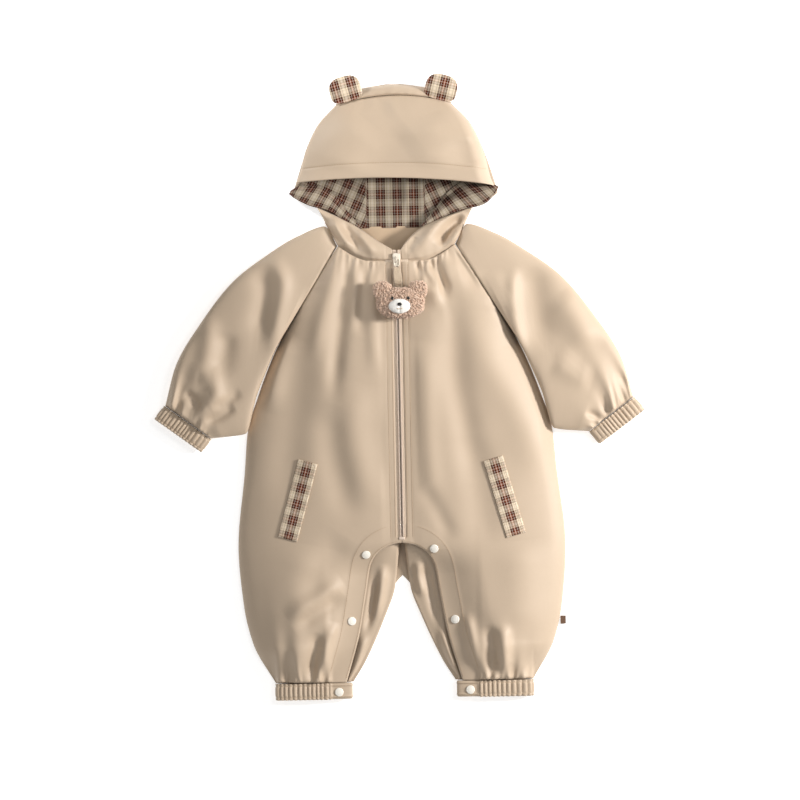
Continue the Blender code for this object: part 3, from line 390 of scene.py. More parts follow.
def weave_group():
    """Twill yarns: their height, and a slow unevenness of the cloth's colour."""
    tree, place, out = group_tree("weave", [("Height", "NodeSocketFloat"), ("Uneven", "NodeSocketFloat")])
    parts = wire_nodes(tree, "ShaderNodeSeparateXYZ", {0: place}).outputs
    pitch = 2 * math.pi / 0.00062
    warp = sums(tree, "SINE", sums(tree, "MULTIPLY", sums(tree, "ADD", parts[0], parts[1]), pitch))
    weft = sums(tree, "SINE", sums(tree, "MULTIPLY", parts[1], pitch))
    yarn = sums(tree, "MULTIPLY_ADD", warp, 0.35, sums(tree, "MULTIPLY", weft, 0.15))
    slub = wire_nodes(tree, "ShaderNodeTexNoise", {"Vector": place, "Scale": 260.0, "Detail": 3.0})
    broad = wire_nodes(tree, "ShaderNodeTexNoise", {"Vector": place, "Scale": 34.0, "Detail": 4.0})
    tree.links.new(sums(tree, "MULTIPLY_ADD", slub.outputs[0], 1.2, yarn), out.inputs[0])
    tree.links.new(sums(tree, "MULTIPLY_ADD", broad.outputs[0], 0.7,
                        sums(tree, "MULTIPLY", slub.outputs[0], 0.3)), out.inputs[1])
    return tree


CHECK = 20.2  # millimetres from one pair of dark stripes to the next


def check_group():
    """Woven check: the same striped yarns run both ways and each crossing shows half of both."""
    tree, place, out = group_tree("check", [("Colour", "NodeSocketColor"), ("Height", "NodeSocketFloat")])
    parts = wire_nodes(tree, "ShaderNodeSeparateXYZ", {0: place}).outputs
    cream, dark, warm = (0.84, 0.75, 0.60, 1), (0.075, 0.018, 0.008, 1), (0.28, 0.078, 0.036, 1)
    white, grey = (0.93, 0.88, 0.80, 1), (0.30, 0.26, 0.20, 1)
    stops = [(0.0, dark), (2.1, white), (2.4, dark), (4.2, warm), (5.3, white), (5.8, warm), (6.9, dark),
             (8.7, white), (9.0, dark), (11.2, cream), (12.9, grey), (13.4, cream), (15.0, white),
             (16.0, cream), (17.8, grey), (18.3, cream)]
    sides = []
    for part in (parts[0], parts[1]):
        share = sums(tree, "FRACT", sums(tree, "MULTIPLY", part, 1 / (CHECK * MM)))
        ramp = wire_nodes(tree, "ShaderNodeValToRGB", {0: share})
        ramp.color_ramp.interpolation = "CONSTANT"
        while len(ramp.color_ramp.elements) < len(stops):
            ramp.color_ramp.elements.new(0.5)
        for element, (at, colour) in zip(ramp.color_ramp.elements, stops):
            element.position, element.color = at / CHECK, colour
        sides.append(ramp.outputs[0])
    yarns = wire_nodes(tree, "ShaderNodeTexNoise", {"Vector": place, "Scale": 900.0, "Detail": 2.0})
    which = wire_nodes(tree, "ShaderNodeMapRange", {0: yarns.outputs[0], 1: 0.36, 2: 0.64, 3: 0.24, 4: 0.5})
    both = wire_nodes(tree, "ShaderNodeMix", {0: which.outputs[0], 6: sides[0], 7: sides[1]}, data_type="RGBA")
    tree.links.new(both.outputs[2], out.inputs[0])
    tree.links.new(yarns.outputs[0], out.inputs[1])
    return tree


def pile_group():
    """Curly pile: clumps of fibre, and a fine random mottle that moves the colour between two tones."""
    tree, place, out = group_tree("pile", [("Height", "NodeSocketFloat"), ("Depth", "NodeSocketFloat")])
    fine = wire_nodes(tree, "ShaderNodeTexNoise", {"Vector": place, "Scale": 900.0, "Detail": 4.0})
    clump = wire_nodes(tree, "ShaderNodeTexVoronoi", {"Vector": place, "Scale": 420.0})
    tree.links.new(sums(tree, "MULTIPLY_ADD", fine.outputs[0], 0.6, clump.outputs[0]), out.inputs[0])
    tree.links.new(fine.outputs[0], out.inputs[1])
    return tree


WEAVE, CHECKED, PILE = weave_group(), check_group(), pile_group()


def material(name, colour, roughness, second=None, pattern="weave", bump=0.2, distance=0.00012, where="UV",
             sheen=0.0, specular=0.4, coat=0.0, metallic=0.0, dye_and_painted_shade=1.0):
    """A surface of one finish, its colour moving between two shades by the pattern."""
    made = bpy.data.materials.new(name)
    made.use_nodes = True
    tree = made.node_tree
    shader = tree.nodes["Principled BSDF"]
    place = wire_nodes(tree, "ShaderNodeTexCoord").outputs[where]
    group = wire_nodes(tree, "ShaderNodeGroup", node_tree={"weave": WEAVE, "check": CHECKED, "pile": PILE}[pattern])
    tree.links.new(place, group.inputs[0])
    if pattern == "check":
        # Multiplies the check by a warm tint: 0.9 darkens the cloth's own dye, and lower values add painted shade on
        # top.
        dye_and_shade_tint = wire_nodes(tree, "ShaderNodeMix", {0: 1.0, 6: group.outputs["Colour"], 7: (dye_and_painted_shade, dye_and_painted_shade * 0.93, dye_and_painted_shade * 0.86, 1)},
                          data_type="RGBA", blend_type="MULTIPLY")
        tree.links.new(dye_and_shade_tint.outputs[2], shader.inputs["Base Color"])
    else:
        blend = wire_nodes(tree, "ShaderNodeMix", {0: group.outputs[1], 6: (*colour, 1), 7: (*(second or colour), 1)},
                           data_type="RGBA")
        tree.links.new(blend.outputs[2], shader.inputs["Base Color"])
    bumps = wire_nodes(tree, "ShaderNodeBump", {"Strength": bump, "Distance": distance,
                                                "Height": group.outputs["Height"]})
    tree.links.new(bumps.outputs[0], shader.inputs["Normal"])
    shader.inputs["Roughness"].default_value = roughness
    shader.inputs["Metallic"].default_value = metallic
    shader.inputs["Specular IOR Level"].default_value = specular
    shader.inputs["Sheen Weight"].default_value = sheen
    shader.inputs["Sheen Roughness"].default_value = 0.45
    shader.inputs["Coat Weight"].default_value = coat
    return made


SHELL = material("shell_cotton", (0.50, 0.39, 0.283), 0.5, (0.55, 0.43, 0.316), sheen=0.08, specular=0.36)
FACING = material("facing_cotton", (0.50, 0.36, 0.235), 0.6, (0.54, 0.40, 0.27), sheen=0.05)
PLAID = material("woven_check", (1, 1, 1), 0.75, pattern="check", bump=0.35, distance=0.0002, specular=0.2, dye_and_painted_shade=0.9)
# The same check tinted down to 0.46: the cloth's own tone plus painted shade, the shadow inside the hood under its
# brim, for the hood's linings and the lips.
PLAID_IN_PAINTED_SHADE = material("woven_check_painted_shade", (1, 1, 1), 0.8, pattern="check", bump=0.35, distance=0.0002, specular=0.1,
                       dye_and_painted_shade=0.46)
ELASTIC = material("knitted_elastic", (0.72, 0.69, 0.62), 0.8, (0.80, 0.77, 0.70), bump=0.6, distance=0.0003)
TAPE = material("zip_tape_cloth", (0.64, 0.51, 0.39), 0.7, (0.70, 0.57, 0.44), bump=0.5, distance=0.0002)
POCKETING = material("pocketing", (0.58, 0.46, 0.33), 0.8, (0.64, 0.51, 0.38), bump=0.3)
THREAD = material("sewing_thread", (0.43, 0.31, 0.20), 0.55, (0.50, 0.37, 0.25), bump=0.3, where="Object")
COIL = material("zip_coil_nylon", (0.66, 0.54, 0.44), 0.32, (0.72, 0.59, 0.49), bump=0.1, where="Object",
                coat=0.2)
SLIDER = material("slider_lacquer", (0.76, 0.69, 0.58), 0.3, (0.80, 0.73, 0.62), bump=0.08, where="Object",
                  coat=0.4)
RIBBON = material("herringbone_ribbon", (0.56, 0.44, 0.31), 0.75, (0.66, 0.53, 0.39), bump=0.8, distance=0.0003)
PLUSH = material("curled_pile", (0.78, 0.58, 0.45), 0.9, (0.46, 0.30, 0.21), pattern="pile", bump=0.7,
                 distance=0.0008, where="Object", sheen=0.5, specular=0.15)
FELT = material("white_felt", (0.90, 0.88, 0.84), 0.95, (0.74, 0.71, 0.66), pattern="pile", bump=0.5,
                distance=0.0004, where="Object", sheen=0.4, specular=0.1)
BEAD = material("polished_bead", (0.012, 0.010, 0.009), 0.12, (0.018, 0.014, 0.012), bump=0.03, where="Object",
                coat=0.6)
SNAP = material("moulded_snap", (0.88, 0.83, 0.74), 0.28, (0.91, 0.87, 0.79), bump=0.04, where="Object",
                coat=0.3)
LABEL = material("woven_label", (0.11, 0.06, 0.035), 0.8, (0.19, 0.11, 0.07), bump=0.6, where="Object")
FLOOR = material("floor_paper", (0.93, 0.93, 0.93), 0.8, (0.95, 0.95, 0.95), bump=0.02, where="Object",
                 specular=0.1)

FLOOR.node_tree.nodes["Principled BSDF"].inputs["Emission Color"].default_value = (1.0, 1.0, 1.0, 1.0)
FLOOR.node_tree.nodes["Principled BSDF"].inputs["Emission Strength"].default_value = 0.55

# ---------------------------------------------------------------- pieces of cloth


def grid_mesh(name, us, vs, surface, flat, closed=False, upward=True):
    """A grid laid on surface(u, v) in mm, with its flat place in metres as UVs."""
    bm = bmesh.new()
    bmesh.ops.create_grid(bm, x_segments=len(us) - 1, y_segments=len(vs) - 1, size=0.5)
    bm.verts.index_update()
    i = np.rint([(v.co.x + 0.5) * (len(us) - 1) for v in bm.verts]).astype(int)
    j = np.rint([(v.co.y + 0.5) * (len(vs) - 1) for v in bm.verts]).astype(int)
    u, v = np.asarray(us)[i], np.asarray(vs)[j]
    points = np.column_stack(np.broadcast_arrays(*surface(u, v))) * MM
    cut = np.column_stack(np.broadcast_arrays(*flat(u, v)))
    layer = bm.loops.layers.uv.new("UVMap")
    for vert, point in zip(bm.verts, points.tolist()):
        vert.co = point
    cut = cut.tolist()
    for face in bm.faces:
        for loop in face.loops:
            loop[layer].uv = cut[loop.vert.index]
        face.smooth = True
    if closed:
        bmesh.ops.remove_doubles(bm, verts=bm.verts, dist=1e-5)
    bmesh.ops.recalc_face_normals(bm, faces=bm.faces)
    if upward and sum(f.normal.z * f.calc_area() for f in bm.faces) < 0:
        bmesh.ops.reverse_faces(bm, faces=bm.faces)
    return bm


def finished(name, bm, *materials):
    mesh = bpy.data.meshes.new(name)
    bm.to_mesh(mesh)
    bm.free()
    obj = add(name, mesh)
    for made in materials:
        mesh.materials.append(made)
    return obj


def applied(obj):
    """Replaces the mesh with what its modifiers make of it."""
    bpy.context.view_layer.update()
    graph = bpy.context.evaluated_depsgraph_get()
    mesh = bpy.data.meshes.new_from_object(obj.evaluated_get(graph), depsgraph=graph)
    old, obj.data = obj.data, mesh
    obj.modifiers.clear()
    mesh.name = obj.name
    bpy.data.meshes.remove(old)
    return obj


def cloth(name, us, vs, surface, flat, made, stands_for, wall=0.9, closed=False,
          offset=-1.0):
    """A sheet of cloth laid on surface(u, v) in mm, with flat(u, v) as its flat place in metres, and wall mm thick. It
    stands for CAD nodes.
    """
    bm = grid_mesh(name, us, vs, surface, flat, closed, upward=not closed)
    obj = finished(name, bm, made)
    skin = obj.modifiers.new("cloth", "SOLIDIFY")
    skin.thickness, skin.offset, skin.use_even_offset = wall * MM, offset, False
    applied(obj)
    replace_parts(obj, *stands_for)
    return obj


def stretch(us, vs, wide, long):
    """Flat place of a plain rectangle of cloth."""
    return lambda u, v: (u * wide * MM, v * long * MM)


def surface_of(*objs):
    """A look-down on finished pieces: (x, y) in mm to the point and normal there."""
    trees = []
    for obj in objs:
        mesh = obj.data
        points = [v.co.copy() for v in mesh.vertices]
        trees.append(BVHTree.FromPolygons(points, [tuple(p.vertices) for p in mesh.polygons]))

    def look(x, y):
        best = None
        for tree in trees:
            hit, normal, _, _ = tree.ray_cast(Vector((x * MM, y * MM, 0.2)), Vector((0, 0, -1)))
            if hit and (best is None or hit.z > best[0].z):
                best = (hit, normal if normal.z > 0 else -normal)
        return best

    return look


def front_panel(side, label):
    rows = list(np.linspace(LEG_END_Y, -206.0, 86)) + list(np.linspace(-205.0, -190.0, 16))
    rows = rows[:-1] + [-190.8, -190.4, -190.15, -190.0, -189.0, -187.6, -186.4, -185.6, -184.8, -184.0, -183.2]
    rows += list(np.linspace(-182.0, 146.0, 166)) + [147.5, 149.0, 150.2, 151.2, 152.0, NECK_Y]
    vs = (np.array(rows) - LEG_END_Y) / (NECK_Y - LEG_END_Y)
    us = graded(96, 150.0)

    def place(u, v):
        y0 = mix(LEG_END_Y, NECK_Y, v)
        rise = ease(y0, UNDERARM_Y - 20.0, NECK_Y)
        y = y0 + rise * (neck_y(mix(OPENING_HALF, NECK_HALF, u)) - NECK_Y)
        return mix(inner_x(y0), outer_x(y0 + rise * (RAGLAN_TOP_Y - NECK_Y)), u), y

    def surface(u, v):
        x, y = place(u, v)
        z = front_z(x, y, side)
        edge, _ = along_path(x, y, INSEAM)
        double = np.where(y < CROTCH_Y + 25.0, 0.35 * ease(edge, 25.5, 22.0), 0.0)
        free = np.where(y > CROTCH_Y + 6.6, x - OPENING_HALF + 0.4, np.where(y > CROTCH_Y + 3.6, 9.0, edge))
        z = z + double + roll(free, 1.5)
        crease = np.where(y > CROTCH_Y - 2.0, np.exp(-(((x - 13.4) / 0.9) ** 2)), 0.0)
        return side * x, y, z - 0.35 * crease

    def flat(u, v):
        x, y = place(u, v)
        return x * MM, y * MM

    return cloth(f"front_{label}", us, vs, surface, flat, SHELL,
                 [f"front_panel_{label}"])


def back():
    """The back, cut as one with both legs."""
    top = BACK_NECK_Y + 5.0
    rows = list(np.linspace(LEG_END_Y, CROTCH_Y - 59.0, 60)) + list(np.linspace(CROTCH_Y - 58.0, CROTCH_Y - 40.0, 19))
    rows += list(np.linspace(CROTCH_Y - 37.0, top, 120))
    vs = (np.array(rows) - LEG_END_Y) / (top - LEG_END_Y)
    us = np.linspace(0.0, 1.0, 60)
    bm = bmesh.new()
    for side, _ in SIDES:

        def place(u, v):
            y = mix(LEG_END_Y, top, v)
            start = (leg_inner_x(y) + 3.0) * np.sqrt(ease(y, CROTCH_Y - 40.0, CROTCH_Y - 58.0))
            end = np.where(y > RAGLAN_TOP_Y, NECK_HALF, outer_x(np.minimum(y, RAGLAN_TOP_Y)))
            return mix(start, end - 0.8, u), y

        def surface(u, v):
            x, y = place(u, v)
            return side * x, y, 1.15 + 0.12 * wander(x, y, 60.0, 3) + 0 * u

        half = grid_mesh("half", us, vs, surface, lambda u, v: tuple(p * MM for p in place(u, v)))
        mesh = bpy.data.meshes.new("half")
        half.to_mesh(mesh)
        half.free()
        bm.from_mesh(mesh)
        bpy.data.meshes.remove(mesh)
    bmesh.ops.remove_doubles(bm, verts=bm.verts, dist=1e-5)
    bmesh.ops.recalc_face_normals(bm, faces=bm.faces)
    if sum(f.normal.z for f in bm.faces) < 0:
        bmesh.ops.reverse_faces(bm, faces=bm.faces)
    obj = finished("back", bm, SHELL)
    skin = obj.modifiers.new("cloth", "SOLIDIFY")
    skin.thickness, skin.offset = 0.9 * MM, -1.0
    applied(obj)
    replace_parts(obj, "back_panel")
    return obj


INSEAM_FOLDS = {
    -1: [(2.2, 6, [(-22, -215), (-26, -245), (-32, -285)]), (-2.0, 5, [(-34, -232), (-40, -270), (-47, -300)]),
         (1.4, 6, [(-48, -300), (-56, -335), (-64, -356)])],
    1: [(2.4, 6, [(18, -212), (17, -232), (24, -258)]), (-1.8, 6, [(30, -215), (36, -250), (44, -290)]),
        (1.6, 6, [(46, -290), (56, -325), (66, -354)])],
}


def inseam_cloth(side, label):
    """The back's inner edge, up round the inside of the leg and under the front's placket."""
    low, top = LEG_END_Y + 0.5, CROTCH_Y + 6.0
    vs = np.linspace(0.0, 1.0, 100)
    us = np.linspace(0.0, 1.0, 64)

    def surface(u, v):
        y = mix(low, top, v)
        bulge, cover = leg_inner_x(y), inseam_x(np.minimum(y, CROTCH_Y))
        tucked = np.maximum(cover + 20.0, bulge + 12.0)
        upper = front_z(cover + 2.0, y, side) - 6.0
        upper = np.minimum(upper, mix(20.0, upper, ease(y, CROTCH_Y, CROTCH_Y - 45.0)))
        turn = math.pi * np.clip((u - 0.2) / 0.25, 0.0, 1.0)
        wrap = bulge + 4.0 - 4.0 * np.sin(turn)
        x = np.where(u < 0.2, mix(bulge + 12.0, bulge + 4.0, u / 0.2),
                     np.where(u < 0.45, wrap, mix(bulge + 4.0, tucked, np.clip((u - 0.45) / 0.55, 0.0, 1.0))))
        z = np.where(u < 0.45, mix(2.2, upper - 2.0, (1 - np.cos(turn)) / 2), upper)
        seen = np.clip((x - bulge - 4.0) / np.maximum(cover - bulge - 4.0, 2.0), 0.0, 1.0)
        soft = np.sin(math.pi * seen) * (u >= 0.45)
        under = np.where(x > cover - 1.0, front_z(np.maximum(x, cover), y, side) - 6.0, 99.0)
        z = z - 2.0 * (1 - seen) * (u >= 0.45) + soft * (1.0 + 1.5 * folds(side * x, y, INSEAM_FOLDS[side]))
        z = z + gathers(x, y - low, BACK_HEM_IN - 2.0, FRONT_HEM_IN + 12.0, 6.0, 1.2, 14.0, 9) * (u > 0.45)
        return side * x, y, np.clip(z, 1.9, under)

    return cloth(f"inseam_{label}", us, vs, surface, stretch(us, vs, 70, 178), SHELL,
                 [f"back_placket_{label}"], wall=0.7)


# ---------------------------------------------------------------- sleeves and cuffs

ACROSS = (math.cos(math.radians(WRIST_TURN)), math.sin(math.radians(WRIST_TURN)))
outer_sleeve = path_through([
    (0.0, NECK_HALF + 2.0, RAGLAN_TOP_Y + 0.5), (0.1, 87.0, 196.5), (0.26, 122.0, 184.0), (0.42, 160.4, 161.0),
    (0.58, 199.0, 132.0), (0.8, 244.6, 75.0), (0.92, 271.5, 30.0),
    (1.0, WRIST[0] + (WRIST_HALF - 0.8) * ACROSS[0], WRIST[1] + (WRIST_HALF - 0.8) * ACROSS[1]),
])
inner_sleeve = path_through([
    (0.0, UNDERARM_HALF + 0.8, UNDERARM_Y + 0.5),
    (0.3, outer_x(mix(UNDERARM_Y, WAIST_Y, 0.38)) + 1.5, mix(UNDERARM_Y, WAIST_Y, 0.38)),
    (0.55, outer_x(mix(UNDERARM_Y, WAIST_Y, 0.69)) + 2.5, mix(UNDERARM_Y, WAIST_Y, 0.69)),
    (1.0, WRIST[0] - (WRIST_HALF - 0.8) * ACROSS[0], WRIST[1] - (WRIST_HALF - 0.8) * ACROSS[1]),
])

SLEEVE_FOLDS = {
    -1: [
        (3.4, 9, [(-152, 160), (-139, 128), (-144, 99), (-151, 66), (-156, 41)]),
        (-3.0, 12, [(-170, 150), (-160, 118), (-165, 88), (-174, 60)]),
        (2.6, 10, [(-228, 92), (-231, 62), (-236, 34), (-258, 13)]),
        (-2.6, 10, [(-206, 70), (-212, 35), (-222, 20)]),
        (3.2, 9, [(-244, 14), (-226, 12), (-222, -6), (-236, -18)]),
        (-3.0, 5, [(-262, -2), (-250, -12), (-240, -24)]),
        (-2.4, 5, [(-200, -20), (-218, -32), (-237, -39)]),
        (-1.8, 5, [(-192, -2), (-212, -16), (-228, -22)]),
        (2.0, 14, [(-118, 130), (-128, 96), (-150, 20), (-172, -22)]),
    ],
    1: [
        (2.8, 7, [(146, 143), (141, 121), (141, 93), (147, 56), (154, 34)]),
        (-3.4, 15, [(160, 148), (166, 118), (172, 72), (182, 40)]),
        (3.0, 16, [(196, 110), (216, 78), (232, 40)]),
        (2.6, 12, [(190, 30), (214, 12), (236, 4)]),
        (-2.2, 4, [(268, 12), (277, -4), (285, -18)]),
        (-2.2, 4, [(226, -34), (240, -42), (257, -49)]),
        (2.0, 12, [(116, 138), (126, 110), (138, 84)]),
    ],
}


def flat_ring(angle):
    """Across and up, each -1..1, of a flattened limb's section."""
    across = np.sign(np.cos(angle)) * np.abs(np.cos(angle)) ** ROUNDNESS
    return across, np.sign(np.sin(angle)) * np.abs(np.sin(angle)) ** ROUNDNESS


def sleeve(side, label):
    height = curve_through([(0.0, 22.5), (0.5, 24.0), (0.85, 22.0), (1.0, CUFF_HEIGHT - 0.6)])
    vs = np.concatenate([[0.0, 0.004, 0.009, 0.016], np.linspace(0.024, 0.97, 118), [0.978, 0.986, 0.993, 1.0]])
    us = np.linspace(0.0, 1.0, 177)
    long = 290.0

    def surface(u, v):
        (x1, y1), (x0, y0) = outer_sleeve(v), inner_sleeve(v)
        across, up = flat_ring(2 * math.pi * u)
        x, y = mix(x0, x1, (across + 1) / 2), mix(y0, y1, (across + 1) / 2)
        z = 0.3 + (up + 1) / 2 * (height(v) - 0.3)
        top = ease(up, 0.0, 0.9)
        lie = folds(side * x, y, SLEEVE_FOLDS[side]) + 0.8 * wander(x, y, 90.0, 12 + side)
        span = across * WRIST_HALF
        lie = lie * ease(v, 0.0, 0.06)
        lie = lie + gathers(span, (1 - v) * long, -WRIST_HALF - 4, WRIST_HALF, 14.0, 7.0, 36.0, 67 + side)
        lie = lie + gathers(span, (1 - v) * long, -WRIST_HALF + 2, WRIST_HALF, 7.0, 3.8, 15.0, 61 + side)
        wide = np.hypot(x1 - x0, y1 - y0) / 2
        lie = lie + gathers(across * wide, v * long, 0.0, 75.0, 11.0, 1.6, 9.0, 71 + side)
        z = z + top * lie - top * 1.3 * np.exp(-((v * long / 1.8) ** 2))
        z = z - top * 1.4 * np.exp(-(((1 - v) * long / 1.5) ** 2))
        return side * x, y, np.maximum(z, 0.35)

    def flat(u, v):
        return u * 300 * MM, v * long * MM

    return cloth(f"sleeve_{label}_cloth", us, vs, surface, flat, SHELL,
                 [f"sleeve_{label}"], closed=True)


def leg_frame(along):
    return (ANKLE_HALF + BACK_HEM_IN) / 2 + 0 * along, LEG_END_Y - SEAM_GAP * 0.4 - along


def wrist_frame(along):
    turn = math.radians(WRIST_TURN + 2.0)
    return WRIST[0] + (along + SEAM_GAP * 0.4) * math.sin(turn), WRIST[1] - (along + SEAM_GAP * 0.4) * math.cos(turn)


LEG_CUFF = ((ANKLE_HALF - BACK_HEM_IN) / 2, (1.0, 0.0), leg_frame)
WRIST_CUFF = (WRIST_HALF, ACROSS, wrist_frame)


def ribs(s, count, seed):
    """Even gathers round a cuff, s running once round: rounded crests and sharp valleys."""
    rng = random.Random(seed)
    bend = sum(rng.uniform(-0.35, 0.35) * np.sin(2 * math.pi * k * s + rng.uniform(0, 6)) for k in (1, 2, 3, 5))
    wave = np.abs(np.sin(math.pi * (count * s + bend)))
    return wave**0.6


def casing(name, side, place, ribs_wanted, calm, wall, made, cut, stands_for, profile, deep=1.0, fine=280):
    """A gathered band: profile(v) gives (along, inset) of its folded section."""
    half, across_dir, middle = place
    us = np.linspace(0.0, 1.0, fine + 1)
    vs = np.linspace(0.0, 1.0, 40)
    angles = np.linspace(0, 2 * math.pi, 721)
    ring = np.array(flat_ring(angles))
    run = np.concatenate([[0], np.cumsum(np.hypot(half * np.diff(ring[0]), CUFF_HEIGHT / 2 * np.diff(ring[1])))])
    run /= run[-1]

    def surface(u, v):
        along, inset = profile(v)
        angle = np.interp(u, run, angles)
        across, up = flat_ring(angle)
        rib = ribs(u, ribs_wanted, 80 + side) * calm(across)
        stitched = 1.0 - 0.75 * (np.exp(-(((along - 2.6) / 1.1) ** 2)) + np.exp(-(((along - BAND + 3.6) / 1.1) ** 2)))
        swell = deep * (rib - 0.45) * 2.6 * stitched + 0.35 * np.sin(math.pi * along / BAND)
        x, up_z = (half - inset + swell * 0.7) * across, CUFF_HEIGHT / 2 + (CUFF_HEIGHT / 2 - inset + swell - 0.4) * up
        cx, cy = middle(along)
        hem = 0.7 * (rib - 0.5) * ease(along, BAND * 0.6, BAND)
        cx = cx + hem * across_dir[1]
        cy = cy - hem * across_dir[0]
        return side * (cx + x * across_dir[0]), cy + x * across_dir[1], np.maximum(up_z, 0.3)

    flat = lambda u, v: (u * cut[0] * MM, v * cut[1] * MM)
    return cloth(name, us, vs, surface, flat, made, stands_for, wall=wall, closed=True)


def folded(v):
    """Section of a casing: out along the outer wall, round the hem and back inside."""
    edge = 1.5
    along = np.where(v < 0.46, v / 0.46 * (BAND - edge),
                     np.where(v < 0.54, BAND - edge + edge * np.sin(math.pi * (v - 0.46) / 0.08),
                              (1 - v) / 0.46 * (BAND - edge)))
    inset = np.where(v < 0.46, 0.4, np.where(v < 0.54, 0.4 + CASING_WALLS * (v - 0.46) / 0.08, 0.4 + CASING_WALLS))
    return along, inset


def single(v):
    return mix(2.0, BAND - 3.0, v), 2.1 + 0 * v


# ---------------------------------------------------------------- collar, hood and ears

COLLAR_FOLDS = {
    -1: [(3.4, 5, [(-78, 208), (-66, 184), (-54, 166)]), (-3.6, 4.5, [(-87, 206), (-79, 186), (-68, 172)]),
         (-2.6, 4.5, [(-66, 200), (-52, 181), (-40, 164)]), (2.0, 4.5, [(-48, 190), (-35, 173), (-27, 160)])],
    1: [(3.0, 6, [(84, 214), (60, 205), (42, 187), (27, 162)]), (-6.5, 6, [(84, 206), (68, 194), (50, 170)]),
        (1.6, 5, [(80, 190), (68, 178), (60, 168)]), (-1.4, 4, [(26, 182), (18, 172), (14, 160)])],
}
collar_seam = {s: path_through([
    (0.0, OPENING_HALF, NECK_Y + 0.6), (0.25, 30.0, NECK_Y + 1.4), (0.42, 47.0, 158.3), (0.56, 60.5, 166.2),
    (0.68, NECK_HALF + 0.6, RAGLAN_TOP_Y + 1.0), (0.85, 82.0, 193.0), (1.0, 88.0, 205.0),
]) for s in (-1, 1)}
collar_edge = {
    -1: path_through([(0.0, OPENING_HALF, ZIP_TOP_Y + 1.0), (0.25, 21.0, 176.5), (0.45, 41.0, 191.0),
                      (0.68, 66.0, 206.0), (0.85, 82.0, 213.5), (1.0, 95.0, 219.5)]),
    1: path_through([(0.0, OPENING_HALF, ZIP_TOP_Y + 1.0), (0.25, 14.0, 178.5), (0.45, 28.0, 191.0),
                     (0.68, 54.0, 204.0), (0.85, 75.0, 211.0), (1.0, 93.0, 216.5)]),
}


def collar(side, label):
    us = graded(84, 110.0, (0.0, 0.5, 1.1, 1.8, 2.6))
    vs = graded(34, 26.0, (0.0, 1.2, 2.3, 2.8, 3.3, 4.0))

    def surface(u, v):
        allowance = np.clip(v - 0.09, -0.09, 0.0) * 33.0
        v = np.clip((v - 0.09) / 0.91, 0.0, 1.0)
        (x0, y0), (x1, y1) = collar_seam[side](u), collar_edge[side](u)
        x, y = mix(x0, x1, v), mix(y0, y1, v) + allowance * ease(u, 0.75, 0.6)
        low = mix(RIDGE_Z, 20.5, ease(u, 0.1, 0.65))
        low = mix(low, 9.0, ease(u, 0.66, 1.0))
        high = mix(RIDGE_Z, 13.0, ease(u, 0.0, 0.9))
        swell = 4.0 * np.sin(math.pi * v) * ease(u, 0.0, 0.3)
        z = mix(low, high, v) + swell
        inside = ease(v, 0.0, 0.12) * ease(v, 1.0, 0.88) * ease(u, 0.0, 0.12)
        z = z + inside * folds(side * x, y, COLLAR_FOLDS[side])
        z = z + ease(u, 0.02, 0.12) * gathers(x, v * 24.0, 10.0, 84.0, 9.0, 1.2, 7.0, 91 + side)
        z = z + 0.5 * allowance - 1.3 * np.exp(-((v * 26 / 1.6) ** 2)) + roll((1 - v) * 26, 1.3) + roll(u * 110, 1.3)
        z = z - 0.3 * np.exp(-((np.abs(x - 13.0) / 0.9) ** 2))
        return side * x, y, z

    obj = cloth(f"collar_{label}_cloth", us, vs, surface, stretch(us, vs, 118, 30), SHELL,
                [f"collar_{label}"], wall=0.9)
    return obj


hood_x = curve_through([
    (HOOD_BRIM_Y, HOOD_HALF), (HOOD_BRIM_Y + 10.0, HOOD_HALF - 4.0),
    (mix(HOOD_BRIM_Y, HOOD_SEAM_Y, 0.42), HOOD_HALF - 12.5),
    (mix(HOOD_BRIM_Y, HOOD_SEAM_Y, 0.75), HOOD_HALF - 27.5), (HOOD_SEAM_Y, HOOD_SEAM_HALF),
])
crown_y = curve_through([(0.0, HOOD_TOP_Y), (0.5, HOOD_TOP_Y - 4.0), (0.8, HOOD_TOP_Y - 12.0),
                         (1.0, HOOD_SEAM_Y + 1.0)])
HOOD_FOLDS = [
    (-2.4, 26, [(-30, 250), (-8, 290), (20, 312)]), (2.6, 30, [(-78, 262), (-66, 300), (-40, 330)]),
    (2.0, 24, [(44, 262), (48, 300), (40, 330)]), (-1.6, 18, [(88, 262), (80, 300)]),
    (-1.4, 10, [(-48, 345), (-30, 338), (0, 342)]),
]
BRIM_TILT = 4.0  # the brim sits this much higher at its left end and lower at its right


def dome_fall(x):
    """How high the dome stands across the hood, 0..1: its crest lies right of the middle."""
    crest = 0.82
    share = np.where(x < crest, (crest - x) / (1 + crest), (x - crest) / (1 - crest))
    return np.sqrt(np.maximum(0.0, 1 - share**2.1))


